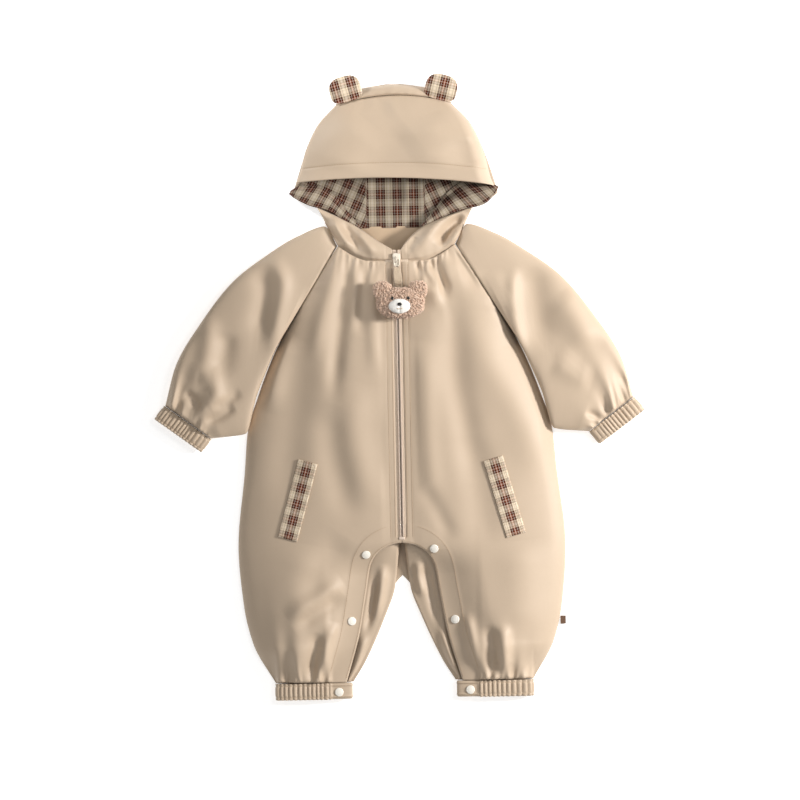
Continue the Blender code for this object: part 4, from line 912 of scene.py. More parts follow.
def hood_front():
    us, vs = np.linspace(0.0, 1.0, 150), graded(80, 105.0)
    height = curve_through([(0.0, HOOD_Z), (0.5, HOOD_Z - 3.0), (0.85, 16.0), (1.0, HOOD_SEAM_Z)])

    def surface(u, v):
        s = 2 * u - 1
        side_y = mix(HOOD_BRIM_Y, HOOD_SEAM_Y, v)
        x = np.sign(s) * np.abs(s) ** 0.85
        y = side_y + mix(HOOD_BRIM_BOW, HOOD_SEAM_BOW, v) * (1 - x * x) - BRIM_TILT * x * (1 - v) ** 2
        fall = dome_fall(x)
        real_x = x * hood_x(side_y)
        z = HOOD_EDGE_Z + height(v) * fall
        above = v * 100.0
        z = z + fall * ease(v, 0.0, 0.2) * (folds(real_x, y, HOOD_FOLDS) + 0.6 * wander(real_x, y, 130.0, 21))
        z = z + fall * gathers(real_x, (1 - v) * 100.0, -66.0, 66.0, 8.0, 0.9, 7.0, 22)
        z = z + roll(above, 1.6) - 0.5 * np.exp(-(((above - 18.3) / 1.2) ** 2)) - 1.0 * np.exp(-(((1 - v) * 100 / 1.6) ** 2))
        return real_x, y, z

    return cloth("hood_dome", us, vs, surface, stretch(us, vs, 285, 118), SHELL,
                 ["hood_front"])


def hood_lining_front():
    us, vs = np.linspace(0.0, 1.0, 90), np.linspace(0.0, 0.94, 46)
    height = curve_through([(0.0, HOOD_Z), (0.5, HOOD_Z - 3.0), (0.85, 16.0), (1.0, HOOD_SEAM_Z)])

    def surface(u, v):
        s = 2 * u - 1
        side_y = mix(HOOD_BRIM_Y + 1.2, HOOD_SEAM_Y - 2.6, v)
        x = np.sign(s) * np.abs(s) ** 0.85
        y = side_y + mix(HOOD_BRIM_BOW, HOOD_SEAM_BOW, v) * (1 - x * x) - BRIM_TILT * x * (1 - v) ** 2
        fall = dome_fall(x)
        real_x = x * (hood_x(side_y) - 3.0)
        lie = folds(real_x, y, HOOD_FOLDS) * ease(v, 0.0, 0.2)
        z = 3.9 + np.maximum(height(v) - 2.8, 2.0) * fall + fall * lie
        return real_x, y, z

    # This lining's checked cloth carries painted shade.
    return cloth("hood_lining_top", us, vs, surface, stretch(us, vs, 275, 106), PLAID_IN_PAINTED_SHADE,
                 ["hood_lining_front"], wall=0.6)


def hood_crown():
    us, vs = np.linspace(0.0, 1.0, 110), graded(20, 20.0, (0.0, 0.5, 1.1, 1.9))

    def surface(u, v):
        s = 2 * u - 1
        seam_y = HOOD_SEAM_Y + HOOD_SEAM_BOW * (1 - s * s) + 0.4
        seam_z = mix(HOOD_SEAM_Z + HOOD_EDGE_Z, 3.6, np.abs(s) ** 3)
        y = mix(seam_y, np.maximum(crown_y(np.abs(s)), seam_y + 2.0), v)
        x = s * HOOD_SEAM_HALF * 0.99
        edge = np.sqrt(np.maximum(1 - v**2, 0.0))
        z = mix(2.0, seam_z + 2.2 * np.sin(math.pi * v) * (1 - s * s), edge)
        z = z + gathers(x, v * 16.0, -56.0, 56.0, 11.0, 2.2, 7.0, 23) * (1 - v) - 1.2 * np.exp(-((v * 18 / 1.6) ** 2))
        return x, y, z

    return cloth("crown", us, vs, surface, stretch(us, vs, 150, 30), SHELL,
                 ["hood_crown"])


def outline_half(t, grow, start_y):
    """Half width of the hood's back at a height, shrunk for its lining."""
    half = curve_through([
        (start_y, NECK_HALF - 2.0 + grow), (start_y + 4.0, NECK_HALF + 14.0 + grow),
        (mix(start_y, HOOD_BRIM_Y, 0.48), 94.0 + grow), (mix(start_y, HOOD_BRIM_Y, 0.61), 114.0 + grow),
        (mix(start_y, HOOD_BRIM_Y, 0.79), 125.0 + grow), (HOOD_BRIM_Y, HOOD_HALF + 1.0 + grow),
        (mix(HOOD_BRIM_Y, HOOD_SEAM_Y, 0.42), HOOD_HALF - 12.5 + grow),
        (mix(HOOD_BRIM_Y, HOOD_SEAM_Y, 0.75), HOOD_HALF - 27.5 + grow), (HOOD_SEAM_Y, HOOD_SEAM_HALF + grow),
        (HOOD_TOP_Y - 12.0, HOOD_SEAM_HALF * 0.8 + grow), (HOOD_TOP_Y - 4.0, HOOD_SEAM_HALF * 0.5 + grow),
        (HOOD_TOP_Y, HOOD_SEAM_HALF * 0.12),
    ])
    return half(t)


def hood_back():
    us, vs = np.linspace(0.0, 1.0, 90), np.linspace(0.0, 1.0, 80)

    def surface(u, v):
        y = mix(184.0, HOOD_TOP_Y, v)
        tucked = 0.9 * (1.0 - ease(y, 192.0, 206.0))
        return (2 * u - 1) * outline_half(y, 0.0, 196.0), y, 1.15 + tucked + 0.1 * wander(u * 240, y, 60.0, 4)

    return cloth("hood_back_cloth", us, vs, surface, stretch(us, vs, 245, 187), SHELL,
                 ["hood_back"])


def hood_lining_back():
    """The lining inside the hood's back: a straight middle panel and two slanting side panels."""
    us = np.concatenate([np.linspace(0.0, 0.34, 34), np.linspace(0.35, 0.65, 30), np.linspace(0.66, 1.0, 34)])
    vs = np.linspace(0.0, 1.0, 90)
    low = 193.5

    def place(u, v):
        y = mix(low, HOOD_TOP_Y - 5.0, v)
        half = np.minimum(outline_half(y, -4.0, low), mix(60.0, 140.0, ease(y, low, low + 12.0)))
        middle = mix(36.0, 33.0, v)
        s = np.abs(2 * u - 1)
        x = np.where(s < 0.31, s / 0.31 * middle, mix(middle, half, (s - 0.31) / 0.69))
        return np.sign(2 * u - 1) * x, y

    def surface(u, v):
        x, y = place(u, v)
        seam = np.minimum(np.abs(np.abs(x) - mix(36.0, 33.0, v)), 20.0)
        lie = 1.8 * np.exp(-((seam / 7.0) ** 2)) * ease(y, 200.0, 216.0) - 0.9 * np.exp(-((seam / 1.3) ** 2))
        lie = lie + 0.5 * (1 + wander(x, y, 46.0, 8))
        lie = lie + 2.2 * np.exp(-(((x - 14.0) / 4.5) ** 2)) * ease(y, 205.0, 232.0)
        return x, y, 2.9 + lie * ease(y, low, low + 10.0)

    def flat(u, v):
        x, y = place(u, v)
        turn = math.radians(24.0)
        out = np.abs(x) - mix(36.0, 33.0, v)
        side = np.sign(x)
        slanted = out > 0.0
        a = np.where(slanted, side * (36.0 + out * math.cos(turn) + (y - low) * math.sin(turn)), x)
        b = np.where(slanted, (y - low) * math.cos(turn) - out * math.sin(turn), y - low)
        return (a + 3.5) * MM, (b + 5.0) * MM

    # This lining's checked cloth carries painted shade.
    return cloth("hood_lining_rear", us, vs, surface, flat, PLAID_IN_PAINTED_SHADE,
                 ["hood_lining_back"], wall=0.6)


LIPS = {
    -1: ([(0.0, 129.5, 237.0), (0.08, 124.0, 231.5), (0.25, 110.0, 224.5), (0.5, 86.0, 216.5), (0.75, 64.0, 204.8),
          (1.0, 42.0, 191.5)],
         [(0.0, 127.0, 241.5), (0.08, 116.0, 247.0), (0.25, 95.0, 247.0), (0.5, 75.0, 236.0), (0.75, 58.0, 214.0),
          (1.0, 41.5, 193.5)]),
    1: ([(0.0, 126.0, 241.0), (0.08, 121.0, 231.0), (0.25, 110.0, 221.5), (0.5, 82.0, 213.5), (0.75, 54.0, 204.0),
         (1.0, 30.0, 192.0)],
        [(0.0, 122.0, 243.5), (0.08, 108.0, 246.5), (0.25, 84.0, 248.0), (0.5, 64.0, 236.0), (0.75, 48.0, 216.0),
         (1.0, 29.5, 194.0)]),
}


def lip(side, label):
    """The hood's edge turned out beside the neck, lining up."""
    lower, upper = (path_through(points) for points in LIPS[side])
    us, vs = np.linspace(0.0, 1.0, 110), np.linspace(0.0, 1.0, 30)

    def surface(u, v):
        (x0, y0), (x1, y1) = lower(u), upper(u)
        swell = 7.5 * np.sin(math.pi * np.clip(u, 0.0, 1.0)) ** 0.7
        base = mix(8.5, 15.0, ease(u, 0.45, 1.0))
        z = base + swell * (1 - v) ** 1.2 * 0.6 + 3.0 * np.sin(math.pi * v) * np.sin(math.pi * u)
        z = mix(z, mix(5.0, 13.5, ease(u, 0.6, 1.0)), ease(v, 0.55, 1.0)) + roll(v * 16, 1.2)
        return side * mix(x0, x1, v), mix(y0, y1, v) + 0.8 * np.sin(u * 14) * (1 - v), z

    def flat(u, v):
        return (u * 108.0 + 3.0) * MM, (v * 27.0 + side * 2.0 + 6.0) * MM

    # The lip's checked cloth carries painted shade.
    return cloth(f"lip_{label}", us, vs, surface, flat, PLAID_IN_PAINTED_SHADE,
                 [f"hood_lip_{label}"], wall=0.7)


def ear(side, label):
    """A stuffed ear: two faces of checked cloth sewn round their edge."""
    half, long, lean = 19.5, 31.0, math.radians(15.0)
    count = 72
    turns = np.linspace(0.0, 2 * math.pi, count + 1)
    wide = np.sign(np.cos(turns)) * np.abs(np.cos(turns)) ** 0.72 * half
    high = np.sin(turns)
    tall = np.where(high >= 0, 0.45 * long + 0.55 * long * high**0.8, 0.45 * long * (1 - np.abs(high) ** 0.45))
    us, vs = np.linspace(0.0, 1.0, count + 1), np.concatenate([np.linspace(0.0, 0.9, 18), [0.95, 0.98, 1.0]])
    centre = 0.48 * long

    def at(u, v):
        x = np.interp(u, turns / turns[-1], wide) * v
        y = centre + (np.interp(u, turns / turns[-1], tall) - centre) * v
        return x, y

    bm = bmesh.new()
    for face in (1, -1):

        def surface(u, v):
            x, y = at(u, v)
            puff = 2.8 * np.sqrt(np.maximum(1 - v**2.6, 0.0)) + 0.25 * np.sin(u * 60) * v**6 * (1 - v) * 6
            turn = side * lean
            px = x * math.cos(turn) + y * math.sin(turn)
            py = -x * math.sin(turn) + y * math.cos(turn)
            root = 1.0 - ease(y, 0.0, 17.0)
            return side * 54.5 + px, 348.0 + py, 18.6 - 6.5 * root + face * puff * (1 - 0.4 * root)

        def flat(u, v):
            x, y = at(u, v)
            return (x + 40.5 + side * 3.0) * MM, (y + 4.0) * MM

        part = grid_mesh("face", us, vs, surface, flat, closed=True)
        mesh = bpy.data.meshes.new("face")
        part.to_mesh(mesh)
        part.free()
        bm.from_mesh(mesh)
        bpy.data.meshes.remove(mesh)
    bmesh.ops.remove_doubles(bm, verts=bm.verts, dist=2e-5)
    bmesh.ops.recalc_face_normals(bm, faces=bm.faces)
    obj = finished(f"ear_{label}_pad", bm, PLAID)
    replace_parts(obj, f"hood_ear_{label}")
    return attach(obj, f"{label}_ear")


# ---------------------------------------------------------------- small pieces


def patch(centre, tilt, low, high, look, lift):
    """A patch lying on a finished surface: its surface function."""
    turn = math.radians(tilt)

    def surface(u, v):
        a, b = mix(low[0], high[0], u), mix(low[1], high[1], v)
        x = centre[0] + a * math.cos(turn) - b * math.sin(turn)
        y = centre[1] + a * math.sin(turn) + b * math.cos(turn)
        z = np.array([look(px, py)[0].z / MM for px, py in zip(x, y)])
        return x, y, z + lift(u, v)

    return surface


def welt(side, label, look):
    us, vs = graded(20, WELT_WIDE, (0.0, 0.4, 0.9, 1.6)), graded(60, WELT_LONG, (0.0, 0.4, 0.9, 1.6))
    low, high = (-WELT_WIDE / 2, -WELT_LONG / 2), (WELT_WIDE / 2, WELT_LONG / 2)

    def lift(u, v):
        edge = np.minimum(np.minimum(u, 1 - u) * WELT_WIDE, np.minimum(v, 1 - v) * WELT_LONG)
        return 1.9 + roll(edge, 1.1) - 0.3 * np.exp(-(((edge - 2.2) / 0.7) ** 2))

    surface = patch((side * WELT[0], WELT[1]), side * WELT_TILT, low, high, look, lift)

    def flat(u, v):
        return ((u - 0.5) * WELT_WIDE + 5.25) * MM, (v * WELT_LONG + 2.0) * MM

    return cloth(f"welt_{label}", us, vs, surface, flat, PLAID,
                 [f"pocket_welt_{label}"], wall=0.9)


def bag(side, label):
    us, vs = np.linspace(0.0, 1.0, 30), np.linspace(0.0, 1.0, 44)
    wide, long = 78.0, 118.0
    turn = math.radians(WELT_TILT)

    def surface(u, v):
        a, b = mix(-wide + WELT_WIDE / 2, WELT_WIDE / 2, u), mix(-long * 0.58, long * 0.42, v)
        x = WELT[0] + a * math.cos(turn) - b * math.sin(turn)
        y = WELT[1] + a * math.sin(turn) + b * math.cos(turn)
        return side * x, y, front_z(x, y, side) - 2.6 + 0.2 * wander(x, y, 40.0, 6)

    return cloth(f"bag_{label}", us, vs, surface, stretch(us, vs, wide, long), POCKETING,
                 [f"pocket_bag_{label}"], wall=1.2)


def turned(name, profile, steps, made):
    """A round piece: an outer profile in mm turned about Z."""
    bm = bmesh.new()
    verts = [bm.verts.new((r * MM, 0.0, z * MM)) for r, z in profile]
    edges = [bm.edges.new(pair) for pair in zip(verts, verts[1:])]
    bmesh.ops.spin(bm, geom=verts + edges, cent=(0, 0, 0), axis=(0, 0, 1), angle=2 * math.pi, steps=steps,
                   use_merge=True)
    bmesh.ops.remove_doubles(bm, verts=bm.verts, dist=1e-6)
    bmesh.ops.recalc_face_normals(bm, faces=bm.faces)
    for face in bm.faces:
        face.smooth = True
    return finished(name, bm, made)


CAP = [(0.0, 1.75), (2.2, 1.72), (3.2, 1.55), (3.55, 1.32), (3.75, 1.38), (4.5, 1.3), (5.05, 0.95), (5.35, 0.4),
       (5.3, 0.0), (4.6, -0.15), (0.0, -0.15)]
STUD = [(0.0, 1.4), (1.6, 1.4), (2.1, 1.15), (2.2, 0.6), (3.6, 0.5), (4.3, 0.25), (4.4, 0.0), (0.0, 0.0)]


def seat(obj, point, normal, lift):
    """Moves a piece so that its Z follows the surface's normal, and leaves the object untransformed."""
    turn = Vector((0, 0, 1)).rotation_difference(normal).to_matrix().to_4x4()
    obj.data.transform(Matrix.Translation(point + normal * lift * MM) @ turn)


def snaps(side, label, look, cuff_look):
    for i, y in enumerate(SNAP_YS, 1):
        x = inseam_x(y) + SNAP_INSET
        if side > 0 and i == 1:
            x, y = x - 5.0, y + 6.0

        point, normal = look(side * x, y)
        cap = turned(f"cap_{label}_{i}", CAP, 40, SNAP)
        seat(cap, point, normal, 0.25)
        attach(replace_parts(cap, f"snap_cap_{label}_{i}"), "suit")
        stud = turned(f"stud_{label}_{i}", STUD, 32, SNAP)
        seat(stud, point, normal, -2.6)
        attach(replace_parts(stud, f"snap_stud_{label}_{i}"), "suit")
    x, y = BACK_HEM_IN + SNAP_INSET + 5.0, LEG_END_Y - SEAM_GAP - BAND / 2
    point, normal = cuff_look(side * x, y)
    cap = turned(f"cap_{label}_3", CAP, 40, SNAP)
    seat(cap, point, normal, 0.25)
    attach(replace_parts(cap, f"snap_cap_{label}_3"), "suit")
    stud = turned(f"stud_{label}_3", STUD, 32, SNAP)
    stud.data.transform(Matrix.Translation(Vector((side * x, y, 6.6)) * MM))
    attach(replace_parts(stud, f"snap_stud_{label}_3"), "suit")


def scattered(name, shape, places, made, core=None):
    """Copies of a small mesh, one at each place, as one object. The core, if any, goes with them."""
    rest = np.empty(len(shape.vertices) * 3, np.float32)
    shape.vertices.foreach_get("co", rest)
    rest = np.column_stack([rest.reshape(-1, 3), np.ones(len(shape.vertices))])
    bm = core or bmesh.new()
    for place in places:
        shape.vertices.foreach_set("co", (rest @ np.array(place).T)[:, :3].astype(np.float32).ravel())
        bm.from_mesh(shape)
    bpy.data.meshes.remove(shape)
    bmesh.ops.recalc_face_normals(bm, faces=bm.faces)
    return finished(name, bm, made)


def small_mesh(bm, smooth=True):
    mesh = bpy.data.meshes.new("shape")
    for face in bm.faces:
        face.smooth = smooth
    bm.to_mesh(mesh)
    bm.free()
    return mesh


def stitches(name, lines, look, body, pitch=3.1, long=2.3, thick=0.42, lift=0.12):
    """Rows of thread: short flat-sided stitches sunk a little in the cloth."""
    places = []
    for line in lines:
        line = np.asarray(line, float)
        run = np.concatenate([[0], np.cumsum(np.hypot(*np.diff(line, axis=0).T))])
        for at in np.arange(pitch / 2, run[-1] - long / 2, pitch):
            ends = [look(np.interp(s, run, line[:, 0]), np.interp(s, run, line[:, 1]))
                    for s in (at - long / 2, at + long / 2)]
            if None in ends or (ends[0][0] - ends[1][0]).length > 2.2 * long * MM:
                continue
            (a, up), (b, _) = ends
            way = (b - a).normalized()
            turn = Matrix((way, up.cross(way).normalized(), up)).transposed().to_4x4()
            size = Matrix.Diagonal(((b - a).length, thick * MM, thick * MM * 0.8, 1.0))
            places.append(Matrix.Translation((a + b) / 2 + up * lift * MM) @ turn @ size)
    bm = bmesh.new()
    bmesh.ops.create_cube(bm, size=1.0)
    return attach(scattered(name, small_mesh(bm, False), places, THREAD), body)


def coil(side, label):
    """One side of the zip's coil: a loop of nylon every pitch, bent over towards the middle."""
    pitch, low, high = 1.5, CROTCH_Y + 8.2, ZIP_TOP_Y - 1.0
    rows = np.arange(low + (0.75 if side > 0 else 0.0), high, pitch)
    places = [Matrix.Translation(Vector((side * 1.75, y, 26.35)) * MM) @ Matrix.Diagonal((1.85 * MM, 0.66 * MM, 0.95 * MM, 1.0))
              for y in rows]
    bm = bmesh.new()
    bmesh.ops.create_icosphere(bm, subdivisions=1, radius=1.0)
    obj = scattered(f"coil_{label}", small_mesh(bm), places, COIL)
    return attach(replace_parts(obj, f"zip_coil_{label}"), "suit")


def tape(side, label):
    us, vs = np.linspace(0.0, 1.0, 16), np.linspace(0.0, 1.0, 120)
    low = CROTCH_Y + 2.0

    def surface(u, v):
        x, y = mix(1.2, 14.0, u), mix(low, ZIP_TOP_Y, v)
        ridge = 0.35 * np.exp(-(((x - 4.2) / 0.7) ** 2))
        return side * x, y, 25.35 + ridge + 0.06 * np.sin(y * 0.9)

    return cloth(f"tape_{label}", us, vs, surface, stretch(us, vs, 12.8, 354), TAPE,
                 [f"zip_tape_{label}"], wall=0.5)


def plate(name, outline, low, high, bevel, made):
    """A thick plate with rounded edges, from its outline in mm."""
    bm = bmesh.new()
    face = bm.faces.new([bm.verts.new((x * MM, y * MM, low * MM)) for x, y in outline])
    grown = bmesh.ops.extrude_face_region(bm, geom=[face])["geom"]
    tops = [item for item in grown if isinstance(item, bmesh.types.BMVert)]
    bmesh.ops.translate(bm, verts=tops, vec=(0, 0, (high - low) * MM))
    bmesh.ops.recalc_face_normals(bm, faces=bm.faces)
    rim = [e for e in bm.edges if len(e.link_faces) == 2 and abs(e.verts[0].co.z - e.verts[1].co.z) < 1e-9]
    bmesh.ops.bevel(bm, geom=rim, offset=bevel * MM, segments=3, profile=0.5, affect="EDGES", material=-1)
    for f in bm.faces:
        f.smooth = True
    return finished(name, bm, made)


def tube(name, points, radius, cyclic, made, sides=10):
    """A bent wire as a mesh."""
    curve = bpy.data.curves.new(name, "CURVE")
    curve.dimensions = "3D"
    curve.bevel_depth, curve.bevel_resolution, curve.use_fill_caps = radius * MM, sides // 4, True
    spline = curve.splines.new("POLY")
    spline.points.add(len(points) - 1)
    for point, place in zip(spline.points, points):
        point.co = (*(Vector(place) * MM), 1.0)
    spline.use_cyclic_u = cyclic
    maker = add(name + "_line", curve)
    bpy.context.view_layer.update()
    mesh = bpy.data.meshes.new_from_object(maker.evaluated_get(bpy.context.evaluated_depsgraph_get()))
    bpy.data.objects.remove(maker)
    bpy.data.curves.remove(curve)
    bm = bmesh.new()
    bm.from_mesh(mesh)
    bpy.data.meshes.remove(mesh)
    bmesh.ops.remove_doubles(bm, verts=bm.verts, dist=1e-6)
    bmesh.ops.recalc_face_normals(bm, faces=bm.faces)
    for face in bm.faces:
        face.smooth = True
    return finished(name, bm, made)


def joined(name, objs):
    """One object from several with the same materials."""
    bm = bmesh.new()
    for obj in objs:
        bm.from_mesh(obj.data)
    made = objs[0].data.materials[0]
    for obj in objs:
        bpy.data.objects.remove(obj)
    return finished(name, bm, made)


def slider_and_pull():
    top = 29.3
    wing = [(-4.3, 7.0), (-2.2, 7.6), (2.2, 7.6), (4.3, 7.0), (4.7, 3.0), (3.6, -2.5), (3.3, -7.0), (-3.3, -7.0),
            (-3.6, -2.5), (-4.7, 3.0)]
    wing = [(x, SLIDER_Y + y) for x, y in wing]
    upper = plate("slider_upper", wing, 27.7, top, 0.5, SLIDER)
    lower = plate("slider_lower", wing, 22.3, 23.4, 0.4, SLIDER)
    post = plate("slider_post", [(x * 0.42, SLIDER_Y + 3.4 + (y - SLIDER_Y) * 0.35) for x, y in wing], 23.2, 27.9, 0.1,
                 SLIDER)
    arch = [(0, SLIDER_Y + 3.6 * math.cos(t), top - 0.6 + 3.0 * math.sin(t)) for t in np.linspace(0, math.pi, 15)]
    bail = tube("slider_arch", arch, 0.75, False, SLIDER)
    body = joined("slider_body", [upper, lower, post, bail])
    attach(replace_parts(body, "zip_slider"), "slider")
    far, half, corner, z = SLIDER_Y + 0.8, 3.2, 1.6, 30.3
    near = far - 8.5
    ring = []
    for cx, cy, start in ((half - corner, far - corner, 0), (corner - half, far - corner, 90),
                          (corner - half, near + corner, 180), (half - corner, near + corner, 270)):
        for i in range(6):
            turn = math.radians(start + 18 * i)
            ring.append((cx + corner * math.cos(turn), cy + corner * math.sin(turn), z))
    link = tube("pull_ring", ring, 0.55, True, SLIDER)
    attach(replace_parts(link, "zip_pull_ring"), "pull")


def ribbon():
    """A ribbon folded through the ring, its two layers stitched together."""
    us, vs = np.linspace(0.0, 1.0, 18), np.linspace(0.0, 1.0, 70)
    wide, lean = 9.8, 2.6
    top_y, low_y, z = 144.6, 119.0, 30.35

    def surface(u, v):
        spot = np.abs(2 * v - 1)
        y = mix(top_y, low_y, np.clip(1.03 * spot - 0.03, 0.0, 1.0))
        face = np.where(v > 0.5, 1.0, -1.0)
        gap = 0.42 * np.sqrt(np.clip(spot / 0.08, 0.0, 1.0))
        bow = 0.5 * np.sin(math.pi * np.clip((top_y - y) / 25.0, 0.0, 1.0))
        x = (u - 0.5) * wide * mix(0.72, 1.0, ease(top_y - y, 0.0, 7.0)) + lean * (top_y - y) / (top_y - low_y)
        return x, y, z + face * gap + bow * 0.4

    bm = grid_mesh("ribbon", us, vs, surface, lambda u, v: (u * 9.8 * MM, v * 52 * MM), upward=False)
    if sum(f.normal.z for f in bm.faces if f.calc_center_median().z > (z + 0.2) * MM) < 0:
        bmesh.ops.reverse_faces(bm, faces=bm.faces)
    obj = finished("ribbon", bm, RIBBON)
    skin = obj.modifiers.new("cloth", "SOLIDIFY")
    skin.thickness, skin.offset = 0.45 * MM, 0.0
    applied(obj)
    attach(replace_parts(obj, "pull_ribbon"), "pull")
    look = surface_of(obj)
    rows = [[(-2.6, 128.0), (5.6, 127.6)], [(-2.4, 124.4), (5.9, 124.0)]]
    stitches("ribbon_stitches", rows, look, "pull", 2.6, 2.0, 0.4)


# ---------------------------------------------------------------- bear charm

CHARM, CHARM_HALF, CHARM_BASE_Z = (3.7, 101.0), (29.0, 18.5, 10.0), 32.0


def curl():
    """A small closed ring of yarn standing on edge."""
    bm = bmesh.new()
    ring = bmesh.ops.create_circle(bm, segments=4, radius=0.4, matrix=Matrix.Translation((1, 0, 0))
                                   @ Matrix.Rotation(math.pi / 2, 4, "X"))
    bmesh.ops.spin(bm, geom=ring["verts"] + list(bm.edges), cent=(0, 0, 0), axis=(0, 0, 1), angle=2 * math.pi,
                   steps=7, use_merge=True)
    return small_mesh(bm)


def squared(n):
    """A direction pushed out towards the corners, for a ball with fuller shoulders."""
    return Vector([math.copysign(abs(c) ** 0.82, c) for c in n.xy] + [n.z])


def plush_ball(name, centre, radii, curls, seed, keep=None):
    """A stuffed ball of curled pile: a lumpy core covered with small loops of yarn."""
    rng = random.Random(seed)
    bm = bmesh.new()
    bmesh.ops.create_icosphere(bm, subdivisions=5, radius=1.0)
    for vert in bm.verts:
        n = vert.co.normalized()
        lump = 0.035 * math.sin(9 * n.x + 2) * math.sin(8 * n.y + 1) + 0.02 * math.sin(21 * n.x) * math.cos(19 * n.y)
        n = squared(n)
        vert.co = (Vector([(c * (r - 1.2)) * (1 + lump) for c, r in zip(n, radii)]) + Vector(centre)) * MM
    for face in bm.faces:
        face.smooth = True
    places = []
    for i in range(curls):
        up = 1 - 2 * (i + 0.5) / curls
        turn = i * 2.39996
        n = Vector((math.sqrt(1 - up * up) * math.cos(turn), math.sqrt(1 - up * up) * math.sin(turn), up))
        spot = Vector([c * (r - 1.9) for c, r in zip(squared(n), radii)]) + Vector(centre)
        normal = Vector([c / r for c, r in zip(n, radii)]).normalized()
        spin = Matrix.Rotation(rng.uniform(0, 6.28), 4, "Z") @ Matrix.Rotation(rng.uniform(0.5, 1.5), 4, "X")
        size = rng.uniform(1.2, 2.3) * MM
        if keep and not keep(spot):
            continue
        face = Vector((0, 0, 1)).rotation_difference(normal).to_matrix().to_4x4()
        places.append(Matrix.Translation((spot + normal * 0.35) * MM) @ face @ spin @ Matrix.Scale(size, 4))
    return scattered(name, curl(), places, PLUSH, bm)


def bead(name, centre, radii, made):
    bm = bmesh.new()
    bmesh.ops.create_uvsphere(bm, u_segments=24, v_segments=16, radius=1.0)
    for vert in bm.verts:
        vert.co = (Vector([c * r for c, r in zip(vert.co, radii)]) + Vector(centre)) * MM
    for face in bm.faces:
        face.smooth = True
    return finished(name, bm, made)


def bear():
    cx, cy = CHARM
    cz = CHARM_BASE_Z + CHARM_HALF[2]
    muzzle = (cx - 1.2, cy - 4.0, cz + 9.2)

    def bare(spot):
        return ((spot.x - muzzle[0]) / 12.6) ** 2 + ((spot.y - muzzle[1]) / 8.4) ** 2 > 1 or spot.z < cz

    head = plush_ball("bear_head", (cx, cy, cz), CHARM_HALF, 1150, 7, bare)
    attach(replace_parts(head, "charm_head"), "charm")
    for side, label in SIDES:
        centre = (cx + side * 21.5, cy + 15.8, cz + 0.5)
        part = plush_ball(f"bear_ear_{label}", centre, (11.3, 11.0, 5.0), 300, 8 + side)
        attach(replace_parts(part, f"charm_ear_{label}"), "charm")
        eye = bead(f"bear_eye_{label}", (cx + side * 9.6, cy + 5.6, cz + 9.7), (1.9, 1.9, 1.5), BEAD)
        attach(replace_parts(eye, f"charm_eye_{label}"), "charm")
    bm = bmesh.new()
    bmesh.ops.create_icosphere(bm, subdivisions=5, radius=1.0)
    rng = random.Random(3)
    for vert in bm.verts:
        n = vert.co.copy()
        fuzz = 1 + rng.uniform(-0.02, 0.03)
        cleft = -0.9 * math.exp(-((n.x / 0.09) ** 2)) * (1 if n.y < 0.1 else 0) * max(n.z, 0)
        vert.co = Vector((muzzle[0] + 13.0 * n.x * fuzz, muzzle[1] + 8.8 * n.y * fuzz,
                          muzzle[2] + 4.3 * n.z * fuzz + cleft)) * MM
    for face in bm.faces:
        face.smooth = True
    felt = finished("bear_muzzle", bm, FELT)
    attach(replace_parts(felt, "charm_muzzle"), "charm")
    nose = bead("bear_nose", (muzzle[0], muzzle[1] + 2.2, muzzle[2] + 4.2), (3.0, 2.1, 1.5), BEAD)
    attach(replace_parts(nose, "charm_nose"), "charm")
    mouth = [(muzzle[0] + 3.4 * math.sin(t), muzzle[1] - 2.0 - 1.6 * abs(math.cos(t)), muzzle[2] + 4.15)
             for t in np.linspace(-1.3, 1.3, 15)]
    smile = tube("bear_mouth", mouth, 0.38, False, THREAD)
    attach(smile, "charm")


# ---------------------------------------------------------------- put together


def mirrored_line(points, side):
    return [(side * x, y) for x, y in points]


def offset_line(points, far):
    """The line moved sideways, to its left, in mm."""
    points = np.asarray(points, float)
    run = np.gradient(points, axis=0)
    run /= np.hypot(*run.T)[:, None]
    return points + np.column_stack([-run[:, 1], run[:, 0]]) * far


